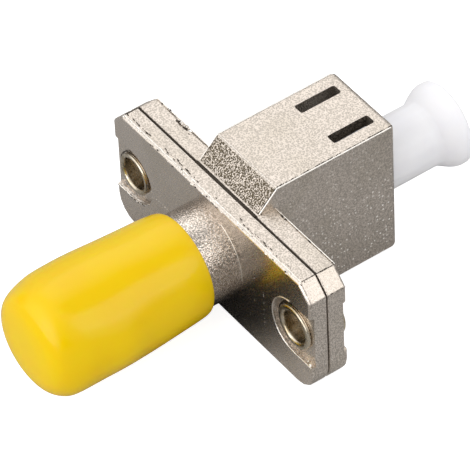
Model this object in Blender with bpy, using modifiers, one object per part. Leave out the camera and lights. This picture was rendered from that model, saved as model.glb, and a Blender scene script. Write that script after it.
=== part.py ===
"""Hybrid fibre adapter: a bayonet (ST) port in front, a latching (LC) port behind.

Two die-cast halves carry a flange plate each. Two eyelets clench the plates together and
leave the screw holes open. A bush in each half holds its zirconia split sleeve on the
fibre axis. A vinyl cap covers the barrel and a soft plug closes the latching port.

Metres, +Z up, fibre axis along Y, latching port towards +Y. Z = 0 is the flat underside,
Y = 0 is the rear face of the flange, which seats on a panel, and X = 0 is mid width.
"""

import math

import bmesh
import bpy

MM = 0.001

# Flange plates
HOLE_SPACING = 18.0 * MM
HOLE_TO_END = 0.55 * MM
PLATE_OVER_BARREL = 0.9 * MM
REAR_PLATE_THICKNESS = 1.5 * MM
FRONT_PLATE_THICKNESS = 1.35 * MM
SEAM_GAP = 0.08 * MM
TOP_CORNER_CHAMFER = 1.15 * MM
BOTTOM_CORNER_RADIUS = 1.75 * MM
PLATE_EDGE_BEVEL = 0.22 * MM
SEAM_EDGE_BEVEL = 0.1 * MM
RECESS_RADIUS = 2.25 * MM
RECESS_DEPTH = 0.3 * MM
GATE_SCAR_X = -6.6 * MM
GATE_SCAR_WIDTH = 1.8 * MM
GATE_SCAR_DEPTH = 0.45 * MM

# Fibre axis and fits
AXIS_HEIGHT = 5.0 * MM
RUNNING_CLEARANCE = 0.03 * MM
SEAT_CLEARANCE = 0.02 * MM

# Bayonet barrel
BARREL_RADIUS = 3.4 * MM
BARREL_LENGTH = 12.6 * MM
BARREL_BORE_RADIUS = 2.5 * MM
BARREL_BASE_FILLET = 0.3 * MM
BARREL_END_CHAMFER = 0.3 * MM
LUG_RADIUS = 0.85 * MM
LUG_TIP_RADIUS = 3.9 * MM
LUG_TIP_BEVEL = 0.15 * MM
LUG_SETBACK = 3.0 * MM
KEYWAY_WIDTH = 1.5 * MM
KEYWAY_LENGTH = 4.0 * MM

# Latching port
BOX_WIDTH = 6.6 * MM
BOX_HEIGHT = 11.15 * MM
BOX_LENGTH = 9.85 * MM
BOX_SLOPE_LENGTH = 1.53 * MM
BOX_SLOPE_START = 0.22 * MM
BOX_EDGE_BEVEL = 0.18 * MM
BOX_END_BEVEL = 0.35 * MM
PORT_WIDTH = 4.75 * MM
PORT_DEPTH = 8.95 * MM
PORT_LEAD_IN = 0.25 * MM
PORT_CORNER_RADIUS = 0.2 * MM
LATCH_CHANNEL_WIDTH = 2.76 * MM
LATCH_ROOF = 1.0 * MM
LATCH_POCKET_DEPTH = 5.0 * MM
CATCH_WIDTH = 0.86 * MM
CATCH_THICKNESS = 0.86 * MM
WINDOW_LENGTH = 3.3 * MM
WINDOW_CORNER_RADIUS = 0.15 * MM

# Sleeve bushes, on either side of the seam
BUSH_FLANGE_RADIUS = 3.1 * MM
BUSH_FLANGE_THICKNESS = 0.7 * MM
BUSH_EDGE_CHAMFER = 0.1 * MM
ST_BUSH_RADIUS = 2.1 * MM
LC_BUSH_RADIUS = 1.45 * MM
LC_BUSH_LENGTH = 5.1 * MM
BUSH_LIP = 0.35 * MM
NOSE_LENGTH = 2.0 * MM
SLEEVE_PLAY = 0.07 * MM

# Split sleeves and the ferrules that they line up
ST_FERRULE_RADIUS = 1.25 * MM
ST_SLEEVE_WALL = 0.35 * MM
ST_SLEEVE_LENGTH = 8.3 * MM
ST_SLEEVE_SLIT = 0.45 * MM
LC_FERRULE_RADIUS = 0.625 * MM
LC_SLEEVE_WALL = 0.185 * MM
LC_SLEEVE_LENGTH = 6.8 * MM
LC_SLEEVE_SLIT = 0.3 * MM
FERRULE_ENTRY_PLAY = 0.07 * MM
RETAINER_WALL = 0.42 * MM
RETAINER_THICKNESS = 0.5 * MM

# Eyelets
EYELET_BORE_RADIUS = 1.2 * MM
EYELET_WALL = 0.22 * MM
EYELET_HEAD_RADIUS = 1.8 * MM
EYELET_ROLL_RADIUS = 1.9 * MM
EYELET_HEAD_THICKNESS = 0.27 * MM

# Bayonet dust cap
CAP_LIP_SWELL = 0.02 * MM
CAP_BODY_SWELL = 0.33 * MM
CAP_MOUTH_GAP = 2.35 * MM
CAP_OVER_BARREL_END = 2.4 * MM
CAP_TAPER_LENGTH = 6.0 * MM
CAP_WALL = 0.42 * MM
CAP_STRETCHED_WALL = 0.27 * MM
CAP_END_WALL = 0.6 * MM
CAP_END_ROUNDING = 2.0 * MM
CAP_LIP_ROUNDING = 0.22 * MM
CAP_LUG_CLEARANCE = 0.08 * MM
CAP_STRETCH_FADE = 1.4 * MM

# Latching port dust plug
PLUG_INSERTION = 5.0 * MM
PLUG_SHANK_LENGTH = 9.6 * MM
PLUG_WALL = 0.7 * MM
PLUG_RIM_RADIUS = 3.07 * MM
PLUG_FLARE_LENGTH = 0.95 * MM
PLUG_FLARE_CURVE = 1.6
PLUG_RIM_THICKNESS = 1.2 * MM
PLUG_RIM_ROUNDING = 0.4 * MM
PLUG_END_WALL = 1.4 * MM
PLUG_DISH_DEPTH = 0.5 * MM

# Facets round each turned piece
BARREL_STEPS = 48
CAP_STEPS = 64
PLUG_STEPS = 40
BUSH_STEPS = 36
SLEEVE_STEPS = 32
EYELET_STEPS = 28
ROD_STEPS = 24
RECESS_STEPS = 12
CAP_TAPER_STEPS = 5
CAP_END_STEPS = 7
PLUG_FLARE_STEPS = 4
ARC_STEPS = 4

# Places worked out from the sizes above, all along Y unless named otherwise
EYELET_HOLE_RADIUS = EYELET_BORE_RADIUS + EYELET_WALL + RUNNING_CLEARANCE
FLANGE_WIDTH = HOLE_SPACING + 2 * (EYELET_HOLE_RADIUS + HOLE_TO_END)
FLANGE_HEIGHT = AXIS_HEIGHT + BARREL_RADIUS + BARREL_BASE_FILLET + PLATE_OVER_BARREL
PANEL_PLANE = 0.0
REAR_SEAM = PANEL_PLANE - REAR_PLATE_THICKNESS
FRONT_SEAM = REAR_SEAM - SEAM_GAP
FRONT_FACE = FRONT_SEAM - FRONT_PLATE_THICKNESS
SEAM_MIDDLE = (REAR_SEAM + FRONT_SEAM) / 2
BARREL_END = FRONT_FACE - BARREL_LENGTH
LUG_PLACE = BARREL_END + LUG_SETBACK
PORT_FLOOR = BOX_LENGTH - PORT_DEPTH
HOLE_HEIGHT = FLANGE_HEIGHT / 2
COUNTERBORE_DEPTH = BUSH_FLANGE_THICKNESS
ST_BUSH_BACK = SEAM_MIDDLE - SEAT_CLEARANCE
ST_BUSH_STEP = ST_BUSH_BACK - BUSH_FLANGE_THICKNESS
LC_BUSH_FRONT = SEAM_MIDDLE + SEAT_CLEARANCE
LC_BUSH_STEP = LC_BUSH_FRONT + BUSH_FLANGE_THICKNESS
NOSE_END = LC_BUSH_FRONT - NOSE_LENGTH
LC_BUSH_END = LC_BUSH_STEP + LC_BUSH_LENGTH
ST_SLEEVE_BACK = LC_BUSH_FRONT - SEAT_CLEARANCE
ST_SLEEVE_FRONT = ST_SLEEVE_BACK - ST_SLEEVE_LENGTH
ST_SLEEVE_RADIUS = ST_FERRULE_RADIUS + ST_SLEEVE_WALL
LC_SLEEVE_RADIUS = LC_FERRULE_RADIUS + LC_SLEEVE_WALL
ST_BUSH_BORE = ST_SLEEVE_RADIUS + SLEEVE_PLAY
LC_BUSH_BORE = LC_SLEEVE_RADIUS + SLEEVE_PLAY
ST_BUSH_END = ST_SLEEVE_FRONT - SEAT_CLEARANCE - BUSH_LIP
LC_SLEEVE_FRONT = NOSE_END + BUSH_LIP + SEAT_CLEARANCE
LC_SLEEVE_BACK = LC_SLEEVE_FRONT + LC_SLEEVE_LENGTH
RETAINER_RADIUS = LC_FERRULE_RADIUS + FERRULE_ENTRY_PLAY + RETAINER_WALL
CAP_MOUTH_RADIUS = BARREL_RADIUS + RUNNING_CLEARANCE + CAP_WALL + CAP_LIP_SWELL
CAP_BODY_RADIUS = BARREL_RADIUS + RUNNING_CLEARANCE + CAP_WALL + CAP_BODY_SWELL
CAP_MOUTH = FRONT_FACE - CAP_MOUTH_GAP
CAP_END = BARREL_END - CAP_OVER_BARREL_END
PLUG_SHANK_RADIUS = PORT_WIDTH / 2 - RUNNING_CLEARANCE
PLUG_INNER_END = BOX_LENGTH - PLUG_INSERTION
PLUG_FLARE_START = PLUG_INNER_END + PLUG_SHANK_LENGTH
PLUG_OUTER_END = PLUG_FLARE_START + PLUG_FLARE_LENGTH + PLUG_RIM_THICKNESS

# How far a cutter runs past the face that it opens
OVERCUT = 0.5 * MM

# Points nearer than this are one point
WELD_DISTANCE = 1e-7
FLAT_ANGLE = math.radians(0.06)
SHARP_ANGLE = math.radians(35.0)
BEVEL_ANGLE = math.radians(30.0)


def clear_scene():
    """Remove what a new file starts with."""
    for thing in list(bpy.data.objects):
        bpy.data.objects.remove(thing)


def new_collection(name):
    """Add a collection to the scene."""
    group = bpy.data.collections.new(name)
    bpy.context.scene.collection.children.link(group)
    return group


def make_material(name, colour, metallic, roughness):
    """A Principled material of one colour."""
    finish = bpy.data.materials.new(name)
    finish.use_nodes = True
    shader = finish.node_tree.nodes["Principled BSDF"]
    shader.inputs["Base Color"].default_value = (*colour, 1.0)
    shader.inputs["Metallic"].default_value = metallic
    shader.inputs["Roughness"].default_value = roughness
    return finish


def add_object(name, data, group, finish=None):
    """Put a mesh or curve in a collection as a named object."""
    thing = bpy.data.objects.new(name, data)
    group.objects.link(thing)
    if finish:
        data.materials.append(finish)
    return thing


def as_cutter(thing):
    """Show a tool solid as wire only."""
    thing.hide_render = True
    thing.display_type = "WIRE"
    return thing


def arc(centre, radius, start, end, steps=ARC_STEPS):
    """Points of an arc in the plane, angles in degrees."""
    points = []
    for step in range(steps + 1):
        angle = math.radians(start + (end - start) * step / steps)
        points.append((centre[0] + radius * math.cos(angle), centre[1] + radius * math.sin(angle)))
    return points


def turned(name, profile, steps, place, group, finish=None, closed=True):
    """Turn a (radius, y) profile about a line along Y through place.

    The profile runs down the outer side, from high Y to low Y, then back up inside. A
    closed profile makes a ring. An open one has both ends on the axis.
    """
    mesh = bpy.data.meshes.new(name)
    count = len(profile)
    edges = [(i, i + 1) for i in range(count - 1)]
    if closed:
        edges.append((count - 1, 0))
    mesh.from_pydata([(radius, 0.0, y - place[1]) for radius, y in profile], edges, [])
    thing = add_object(name, mesh, group, finish)
    thing.location = place
    thing.rotation_euler = (-math.pi / 2, 0.0, 0.0)
    screw = thing.modifiers.new("Turn", "SCREW")
    screw.steps = steps
    screw.render_steps = steps
    screw.use_merge_vertices = True
    screw.merge_threshold = WELD_DISTANCE
    screw.use_smooth_shade = False
    return thing


def on_axis(y=0.0):
    """A point of the fibre axis."""
    return (0.0, y, AXIS_HEIGHT)


def extruded(name, outline, thickness, place, turn, group, finish=None):
    """Extrude a flat outline about its own plane, and make it a mesh."""
    curve = bpy.data.curves.new(name, "CURVE")
    curve.dimensions = "2D"
    curve.fill_mode = "BOTH"
    curve.extrude = thickness / 2
    spline = curve.splines.new("POLY")
    spline.points.add(len(outline) - 1)
    for point, (u, v) in zip(spline.points, outline):
        point.co = (u, v, 0.0, 1.0)
    spline.use_cyclic_u = True
    guide = add_object(name + "_outline", curve, group)
    guide.location = place
    guide.rotation_euler = turn
    bpy.context.view_layer.update()
    seen = guide.evaluated_get(bpy.context.evaluated_depsgraph_get())
    mesh = bpy.data.meshes.new_from_object(seen)
    shell = bmesh.new()
    shell.from_mesh(mesh)
    bmesh.ops.remove_doubles(shell, verts=shell.verts, dist=WELD_DISTANCE)
    bmesh.ops.dissolve_limit(shell, angle_limit=FLAT_ANGLE, verts=shell.verts, edges=shell.edges)
    bmesh.ops.recalc_face_normals(shell, faces=shell.faces)
    shell.to_mesh(mesh)
    shell.free()
    mesh.materials.clear()
    thing = add_object(name, mesh, group, finish)
    thing.matrix_world = guide.matrix_world.copy()
    bpy.data.objects.remove(guide)
    return thing


UPRIGHT_ACROSS = (math.pi / 2, 0.0, 0.0)
UPRIGHT_ALONG = (math.pi / 2, 0.0, math.pi / 2)


def weigh_edges(thing, weigh):
    """Give each edge the bevel weight that weigh says for its middle and its direction."""
    mesh = thing.data
    weights = mesh.attributes.new("bevel_weight_edge", "FLOAT", "EDGE")
    for edge in mesh.edges:
        first, last = (thing.matrix_world @ mesh.vertices[i].co for i in edge.vertices)
        weights.data[edge.index].value = weigh((first + last) / 2, (last - first).normalized())


def bevel(thing, width, segments=2, by_weight=False):
    """Round or chamfer the edges of a solid."""
    modifier = thing.modifiers.new("Bevel", "BEVEL")
    modifier.width = width
    modifier.segments = segments
    modifier.limit_method = "WEIGHT" if by_weight else "ANGLE"
    modifier.angle_limit = BEVEL_ANGLE
    return thing


def boolean(thing, tool, operation):
    """Cut a tool out of a solid, or join it on."""
    modifier = thing.modifiers.new(operation.title() + " " + tool.name, "BOOLEAN")
    modifier.operation = operation
    modifier.solver = "EXACT"
    modifier.object = tool


def block(name, low, high, group):
    """A box between two corners."""
    mesh = bpy.data.meshes.new(name)
    shell = bmesh.new()
    bmesh.ops.create_cube(shell, size=1.0)
    size = [high[i] - low[i] for i in range(3)]
    bmesh.ops.scale(shell, vec=size, verts=shell.verts)
    shell.to_mesh(mesh)
    shell.free()
    thing = add_object(name, mesh, group)
    thing.location = [(low[i] + high[i]) / 2 for i in range(3)]
    return thing


def rod(name, radius, length, centre, turn, group, segments=ROD_STEPS, end_radius=None):
    """A cylinder or a cone about its own centre."""
    mesh = bpy.data.meshes.new(name)
    shell = bmesh.new()
    bmesh.ops.create_cone(
        shell,
        cap_ends=True,
        segments=segments,
        radius1=radius,
        radius2=radius if end_radius is None else end_radius,
        depth=length,
    )
    shell.to_mesh(mesh)
    shell.free()
    thing = add_object(name, mesh, group)
    thing.location = centre
    thing.rotation_euler = turn
    return thing


ALONG_X = (0.0, math.pi / 2, 0.0)
ALONG_Y = (-math.pi / 2, 0.0, 0.0)
ALONG_Z = (0.0, 0.0, 0.0)


def flange_outline():
    """Outline of both flange plates: chamfered at the top, round at the bottom."""
    half = FLANGE_WIDTH / 2
    top = FLANGE_HEIGHT
    cut = TOP_CORNER_CHAMFER
    radius = BOTTOM_CORNER_RADIUS
    outline = [(half, top - cut), (half - cut, top), (-half + cut, top), (-half, top - cut)]
    outline += arc((-half + radius, radius), radius, 180, 270)
    outline += arc((half - radius, radius), radius, 270, 360)
    return outline


def flange_plate(name, front, back, outer_face, group, finish):
    """A flange plate whose outer rim has the wide bevel and whose seam rim has the narrow one."""
    plate = extruded(
        name, flange_outline(), back - front, (0.0, (front + back) / 2, 0.0), UPRIGHT_ACROSS, group, finish
    )

    def weigh(middle, direction):
        if abs(direction.y) > 0.5:
            flat_corner = middle.z > FLANGE_HEIGHT / 2
            return SEAM_EDGE_BEVEL / PLATE_EDGE_BEVEL if flat_corner else 0.0
        return 1.0 if abs(middle.y - outer_face) < SEAT_CLEARANCE else SEAM_EDGE_BEVEL / PLATE_EDGE_BEVEL

    weigh_edges(plate, weigh)
    return bevel(plate, PLATE_EDGE_BEVEL, by_weight=True)


def hole_sides():
    """The name and the X of each flange hole."""
    return [("left", -HOLE_SPACING / 2), ("right", HOLE_SPACING / 2)]


def eyelet_seats(name, outer_face, inner_face, cutters):
    """Cutters for the two holes of a plate and for the recess round each, open at the plate's end."""
    tools = []
    inwards = 1.0 if inner_face > outer_face else -1.0
    depth = abs(inner_face - outer_face) + 2 * OVERCUT
    floor = outer_face + inwards * RECESS_DEPTH
    sky = outer_face - inwards * OVERCUT
    for side, x in hole_sides():
        centre = (x, (outer_face + inner_face) / 2, HOLE_HEIGHT)
        hole = rod(f"{name}_hole_{side}", EYELET_HOLE_RADIUS, depth, centre, ALONG_Y, cutters, EYELET_STEPS)
        outward = 1.0 if x > 0 else -1.0
        end = outward * (FLANGE_WIDTH / 2 + OVERCUT) - x
        outline = [(end, -RECESS_RADIUS), (end, RECESS_RADIUS)]
        if outward > 0:
            outline += arc((0.0, 0.0), RECESS_RADIUS, 90, 270, RECESS_STEPS)
        else:
            outline = outline[::-1] + arc((0.0, 0.0), RECESS_RADIUS, -90, 90, RECESS_STEPS)
        recess = extruded(
            f"{name}_recess_{side}",
            outline,
            abs(sky - floor),
            (x, (sky + floor) / 2, HOLE_HEIGHT),
            UPRIGHT_ACROSS,
            cutters,
        )
        tools += [hole, recess]
    return tools


def barrel_profile():
    """Outer side of the barrel, from inside the plate to its chamfered end, closed on the axis."""
    root = (FRONT_FACE + FRONT_SEAM) / 2
    fillet = BARREL_BASE_FILLET
    profile = [(0.0, root), (BARREL_RADIUS + fillet, root)]
    profile += arc((BARREL_RADIUS + fillet, FRONT_FACE - fillet), fillet, 90, 180)
    profile += [
        (BARREL_RADIUS, BARREL_END + BARREL_END_CHAMFER),
        (BARREL_RADIUS - BARREL_END_CHAMFER, BARREL_END),
        (0.0, BARREL_END),
    ]
    return profile


def barrel_bore_profile():
    """Cutter down the barrel: the counterbore at the seam, then the bore with its lead-in."""
    seat_radius = BUSH_FLANGE_RADIUS + RUNNING_CLEARANCE
    seat = FRONT_SEAM - COUNTERBORE_DEPTH
    mouth = BARREL_BORE_RADIUS + BARREL_END_CHAMFER
    return [
        (0.0, FRONT_SEAM + OVERCUT),
        (seat_radius, FRONT_SEAM + OVERCUT),
        (seat_radius, seat),
        (BARREL_BORE_RADIUS, seat),
        (BARREL_BORE_RADIUS, BARREL_END + BARREL_END_CHAMFER),
        (mouth, BARREL_END),
        (mouth, BARREL_END - OVERCUT),
        (0.0, BARREL_END - OVERCUT),
    ]


def make_st_housing(group, cutters, finish):
    """Front half: flange plate, barrel, bayonet lugs and keyway in one casting."""
    housing = flange_plate("st_housing", FRONT_FACE, FRONT_SEAM, FRONT_FACE, group, finish)
    barrel = turned("barrel_blank", barrel_profile(), BARREL_STEPS, on_axis(), cutters, closed=False)
    boolean(housing, as_cutter(barrel), "UNION")
    root = (BARREL_BORE_RADIUS + BARREL_RADIUS) / 2
    for side, outward in (("left", -1.0), ("right", 1.0)):
        centre = (outward * (LUG_TIP_RADIUS + root) / 2, LUG_PLACE, AXIS_HEIGHT)
        lug = rod(f"lug_{side}", LUG_RADIUS, LUG_TIP_RADIUS - root, centre, ALONG_X, cutters)
        bevel(lug, LUG_TIP_BEVEL, segments=1)
        boolean(housing, as_cutter(lug), "UNION")
    half_width = KEYWAY_WIDTH / 2
    outline = [(-half_width, BARREL_END - OVERCUT), (half_width, BARREL_END - OVERCUT)]
    outline += arc((0.0, BARREL_END + KEYWAY_LENGTH - half_width), half_width, 0, 180, ROD_STEPS // 2)
    low = BARREL_BORE_RADIUS / 2
    high = BARREL_RADIUS + OVERCUT
    place = (0.0, 0.0, AXIS_HEIGHT + (low + high) / 2)
    keyway = extruded("keyway", outline, high - low, place, ALONG_Z, cutters)
    boolean(housing, as_cutter(keyway), "DIFFERENCE")
    bore = turned("barrel_bore", barrel_bore_profile(), BARREL_STEPS, on_axis(), cutters, closed=False)
    boolean(housing, as_cutter(bore), "DIFFERENCE")
    for tool in eyelet_seats("front", FRONT_FACE, FRONT_SEAM, cutters):
        boolean(housing, as_cutter(tool), "DIFFERENCE")
    return housing


def box_outline():
    """Side view of the box: flat underside, upright mouth, and a slope that rises out of the flange."""
    slope_top = REAR_SEAM + BOX_SLOPE_START + BOX_SLOPE_LENGTH
    rise = BOX_HEIGHT - FLANGE_HEIGHT
    inside = BOX_SLOPE_START / 2
    buried = inside * rise / BOX_SLOPE_LENGTH
    return [
        (REAR_SEAM + BOX_SLOPE_START - inside, 0.0),
        (BOX_LENGTH, 0.0),
        (BOX_LENGTH, BOX_HEIGHT),
        (slope_top, BOX_HEIGHT),
        (REAR_SEAM + BOX_SLOPE_START - inside, FLANGE_HEIGHT - buried),
    ]


def make_port_cutters(cutters):
    """Cutters for the latching port: plug cavity, latch channel, catch pockets and their windows."""
    half = PORT_WIDTH / 2
    channel = LATCH_CHANNEL_WIDTH / 2
    roof = BOX_HEIGHT - LATCH_ROOF
    mouth = BOX_LENGTH + OVERCUT
    pocket_back = BOX_LENGTH - CATCH_THICKNESS
    window_front = pocket_back - WINDOW_LENGTH
    cavity = block(
        "port_cavity", (-half, PORT_FLOOR, AXIS_HEIGHT - half), (half, mouth, AXIS_HEIGHT + half), cutters
    )
    bevel(cavity, PORT_CORNER_RADIUS)
    reach = PORT_LEAD_IN + OVERCUT
    lead_in = rod(
        "port_lead_in",
        half * math.sqrt(2.0),
        reach,
        (0.0, BOX_LENGTH - PORT_LEAD_IN + reach / 2, AXIS_HEIGHT),
        ALONG_Y,
        cutters,
        segments=4,
        end_radius=(half + reach) * math.sqrt(2.0),
    )
    lead_in.rotation_euler = (-math.pi / 2, math.pi / 4, 0.0)
    latch_channel = block(
        "latch_channel",
        (-channel, PORT_FLOOR + LATCH_POCKET_DEPTH / 2, AXIS_HEIGHT),
        (channel, mouth, roof),
        cutters,
    )
    pockets = block(
        "catch_pockets",
        (-channel - CATCH_WIDTH, window_front, AXIS_HEIGHT),
        (channel + CATCH_WIDTH, pocket_back, roof),
        cutters,
    )
    tools = [cavity, lead_in, latch_channel, pockets]
    for side, outward in (("left", -1.0), ("right", 1.0)):
        inner, outer = sorted((outward * channel, outward * (channel + CATCH_WIDTH)))
        window = block(
            f"window_{side}",
            (inner, window_front, roof - OVERCUT),
            (outer, pocket_back, BOX_HEIGHT + OVERCUT),
            cutters,
        )
        weigh_edges(window, lambda middle, direction: 1.0 if abs(direction.z) > 0.5 else 0.0)
        bevel(window, WINDOW_CORNER_RADIUS, by_weight=True)
        tools.append(window)
    return tools


def lc_bush_seat_profile():
    """Cutter at the seam of the rear half: counterbore for the bush flange and hole for its tube."""
    seat_radius = BUSH_FLANGE_RADIUS + RUNNING_CLEARANCE
    tube_radius = LC_BUSH_RADIUS + RUNNING_CLEARANCE
    seat = REAR_SEAM + COUNTERBORE_DEPTH
    return [
        (0.0, PORT_FLOOR + OVERCUT),
        (tube_radius, PORT_FLOOR + OVERCUT),
        (tube_radius, seat),
        (seat_radius, seat),
        (seat_radius, REAR_SEAM - OVERCUT),
        (0.0, REAR_SEAM - OVERCUT),
    ]


def make_lc_housing(group, cutters, finish):
    """Rear half: flange plate and box with the latching port in one casting."""
    housing = flange_plate("lc_housing", REAR_SEAM, PANEL_PLANE, PANEL_PLANE, group, finish)
    box = extruded("box_blank", box_outline(), BOX_WIDTH, (0.0, 0.0, 0.0), UPRIGHT_ALONG, cutters)

    def weigh(middle, _direction):
        at_mouth = abs(middle.y - BOX_LENGTH) < SEAT_CLEARANCE
        return 1.0 if at_mouth else BOX_EDGE_BEVEL / BOX_END_BEVEL

    weigh_edges(box, weigh)
    bevel(box, BOX_END_BEVEL, by_weight=True)
    boolean(housing, as_cutter(box), "UNION")
    for tool in make_port_cutters(cutters):
        boolean(housing, as_cutter(tool), "DIFFERENCE")
    seat = turned("lc_bush_seat", lc_bush_seat_profile(), BUSH_STEPS, on_axis(), cutters, closed=False)
    boolean(housing, as_cutter(seat), "DIFFERENCE")
    for tool in eyelet_seats("rear", PANEL_PLANE, REAR_SEAM, cutters):
        boolean(housing, as_cutter(tool), "DIFFERENCE")
    half_width = GATE_SCAR_WIDTH / 2
    scar_radius = (half_width**2 + GATE_SCAR_DEPTH**2) / (2 * GATE_SCAR_DEPTH)
    scar = rod(
        "gate_scar",
        scar_radius,
        2 * GATE_SCAR_DEPTH,
        (GATE_SCAR_X, PANEL_PLANE - GATE_SCAR_DEPTH + scar_radius, FLANGE_HEIGHT),
        ALONG_Z,
        cutters,
    )
    boolean(housing, as_cutter(scar), "DIFFERENCE")
    return housing


def make_st_bush(group, finish):
    """Turned bush of the bayonet side: trapped flange, tube and the lip that keeps the sleeve in."""
    chamfer = BUSH_EDGE_CHAMFER
    lip = ST_FERRULE_RADIUS + FERRULE_ENTRY_PLAY
    profile = [
        (BUSH_FLANGE_RADIUS - chamfer, ST_BUSH_BACK),
        (BUSH_FLANGE_RADIUS, ST_BUSH_BACK - chamfer),
        (BUSH_FLANGE_RADIUS, ST_BUSH_STEP + SEAT_CLEARANCE),
        (ST_BUSH_RADIUS, ST_BUSH_STEP + SEAT_CLEARANCE),
        (ST_BUSH_RADIUS, ST_BUSH_END + chamfer),
        (ST_BUSH_RADIUS - chamfer, ST_BUSH_END),
        (lip + chamfer, ST_BUSH_END),
        (lip, ST_BUSH_END + chamfer),
        (lip, ST_BUSH_END + BUSH_LIP),
        (ST_BUSH_BORE, ST_BUSH_END + BUSH_LIP),
        (ST_BUSH_BORE, ST_BUSH_BACK),
    ]
    return turned("st_sleeve_bush", profile, BUSH_STEPS, on_axis(), group, finish)


def make_lc_bush(group, finish):
    """Turned bush of the latching side: nose inside the large sleeve, flange, tube and ring seat."""
    chamfer = BUSH_EDGE_CHAMFER
    lip = LC_FERRULE_RADIUS + FERRULE_ENTRY_PLAY
    nose = ST_FERRULE_RADIUS - RUNNING_CLEARANCE
    ring_seat = RETAINER_RADIUS + RUNNING_CLEARANCE
    ring_floor = LC_BUSH_END - RETAINER_THICKNESS - SEAT_CLEARANCE
    flange_back = LC_BUSH_STEP - 2 * SEAT_CLEARANCE
    profile = [
        (LC_BUSH_RADIUS - chamfer, LC_BUSH_END),
        (LC_BUSH_RADIUS, LC_BUSH_END - chamfer),
        (LC_BUSH_RADIUS, flange_back),
        (BUSH_FLANGE_RADIUS - chamfer, flange_back),
        (BUSH_FLANGE_RADIUS, flange_back - chamfer),
        (BUSH_FLANGE_RADIUS, LC_BUSH_FRONT),
        (nose, LC_BUSH_FRONT),
        (nose, NOSE_END + chamfer),
        (nose - chamfer, NOSE_END),
        (lip, NOSE_END),
        (lip, NOSE_END + BUSH_LIP),
        (LC_BUSH_BORE, NOSE_END + BUSH_LIP),
        (LC_BUSH_BORE, ring_floor),
        (ring_seat, ring_floor),
        (ring_seat, LC_BUSH_END),
    ]
    return turned("lc_sleeve_bush", profile, BUSH_STEPS, on_axis(), group, finish)


def make_retainer(group, finish):
    """Ring pressed into the end of the latching side's bush, which keeps the small sleeve in."""
    chamfer = BUSH_EDGE_CHAMFER
    bore = LC_FERRULE_RADIUS + FERRULE_ENTRY_PLAY
    front = LC_BUSH_END - RETAINER_THICKNESS
    profile = [
        (RETAINER_RADIUS, LC_BUSH_END),
        (RETAINER_RADIUS, front),
        (bore, front),
        (bore, LC_BUSH_END - chamfer),
        (bore + chamfer, LC_BUSH_END),
    ]
    return turned("sleeve_retainer", profile, BUSH_STEPS, on_axis(), group, finish)


def make_split_sleeve(name, bore, wall, front, back, slit, group, cutters, finish):
    """Zirconia tube slit along its whole length, so that it grips the ferrules."""
    outer = bore + wall
    edge = wall / 4
    profile = [
        (outer - edge, back),
        (outer, back - edge),
        (outer, front + edge),
        (outer - edge, front),
        (bore + edge, front),
        (bore, front + edge),
        (bore, back - edge),
        (bore + edge, back),
    ]
    sleeve = turned(name, profile, SLEEVE_STEPS, on_axis(), group, finish)
    gap = block(
        name + "_slit",
        (-slit / 2, front - OVERCUT, AXIS_HEIGHT - outer - OVERCUT),
        (slit / 2, back + OVERCUT, AXIS_HEIGHT - bore / 2),
        cutters,
    )
    boolean(sleeve, as_cutter(gap), "DIFFERENCE")
    return sleeve


def eyelet_profile():
    """Eyelet: domed head in the front recess, tube through both plates, rim rolled over behind."""
    outer = EYELET_BORE_RADIUS + EYELET_WALL
    head = EYELET_HEAD_THICKNESS
    rear_floor = PANEL_PLANE - RECESS_DEPTH + SEAT_CLEARANCE
    front_floor = FRONT_FACE + RECESS_DEPTH - SEAT_CLEARANCE
    flare = EYELET_WALL
    half = head / 2
    profile = arc((EYELET_ROLL_RADIUS - half, rear_floor + half), half, 90, -90)
    profile += [(outer, rear_floor), (outer, front_floor)]
    profile += arc((EYELET_HEAD_RADIUS - half, front_floor - half), half, 90, -90)
    profile += arc((EYELET_BORE_RADIUS + flare, front_floor - head + flare), flare, -90, -180)
    profile += arc((EYELET_BORE_RADIUS + flare, rear_floor + head - flare), flare, 180, 90)
    return profile


def make_eyelets(group, finish):
    """The two eyelets that clench the halves together."""
    eyelets = []
    for side, x in hole_sides():
        place = (x, 0.0, HOLE_HEIGHT)
        eyelets.append(turned(f"eyelet_{side}", eyelet_profile(), EYELET_STEPS, place, group, finish))
    return eyelets


def cap_profile():
    """Cap before it is stretched over the lugs: rolled lip, slow taper, rounded blind end."""
    taper_end = CAP_MOUTH - CAP_TAPER_LENGTH
    rounding_start = CAP_END + CAP_END_ROUNDING
    flat = CAP_BODY_RADIUS - CAP_END_ROUNDING
    inner_rounding = CAP_END_ROUNDING - CAP_WALL
    inner_end = CAP_END + CAP_END_WALL
    inner_body = CAP_BODY_RADIUS - CAP_WALL
    lip = CAP_LIP_ROUNDING
    inner_mouth = BARREL_RADIUS + RUNNING_CLEARANCE
    profile = arc((CAP_MOUTH_RADIUS - lip, CAP_MOUTH - lip), lip, 90, 0, 3)
    for step in range(1, CAP_TAPER_STEPS + 1):
        share = step / CAP_TAPER_STEPS
        eased = math.sin(share * math.pi / 2)
        radius = CAP_MOUTH_RADIUS + (CAP_BODY_RADIUS - CAP_MOUTH_RADIUS) * eased
        profile.append((radius, CAP_MOUTH - lip + (taper_end - CAP_MOUTH + lip) * share))
    profile += arc((flat, rounding_start), CAP_END_ROUNDING, 0, -90, CAP_END_STEPS)
    profile += [(0.0, CAP_END), (0.0, inner_end)]
    inner_corner = (inner_body - inner_rounding, inner_end + inner_rounding)
    profile += arc(inner_corner, inner_rounding, -90, 0, CAP_END_STEPS - 2)
    lug_side = LUG_PLACE - LUG_RADIUS
    for y in (lug_side - CAP_STRETCH_FADE, lug_side - CAP_STRETCH_FADE / 2, lug_side - CAP_LUG_CLEARANCE):
        profile.append((inner_body, y))
    profile += [(inner_body, taper_end), (inner_mouth, CAP_MOUTH - 2 * lip), (inner_mouth, CAP_MOUTH)]
    return profile


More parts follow.
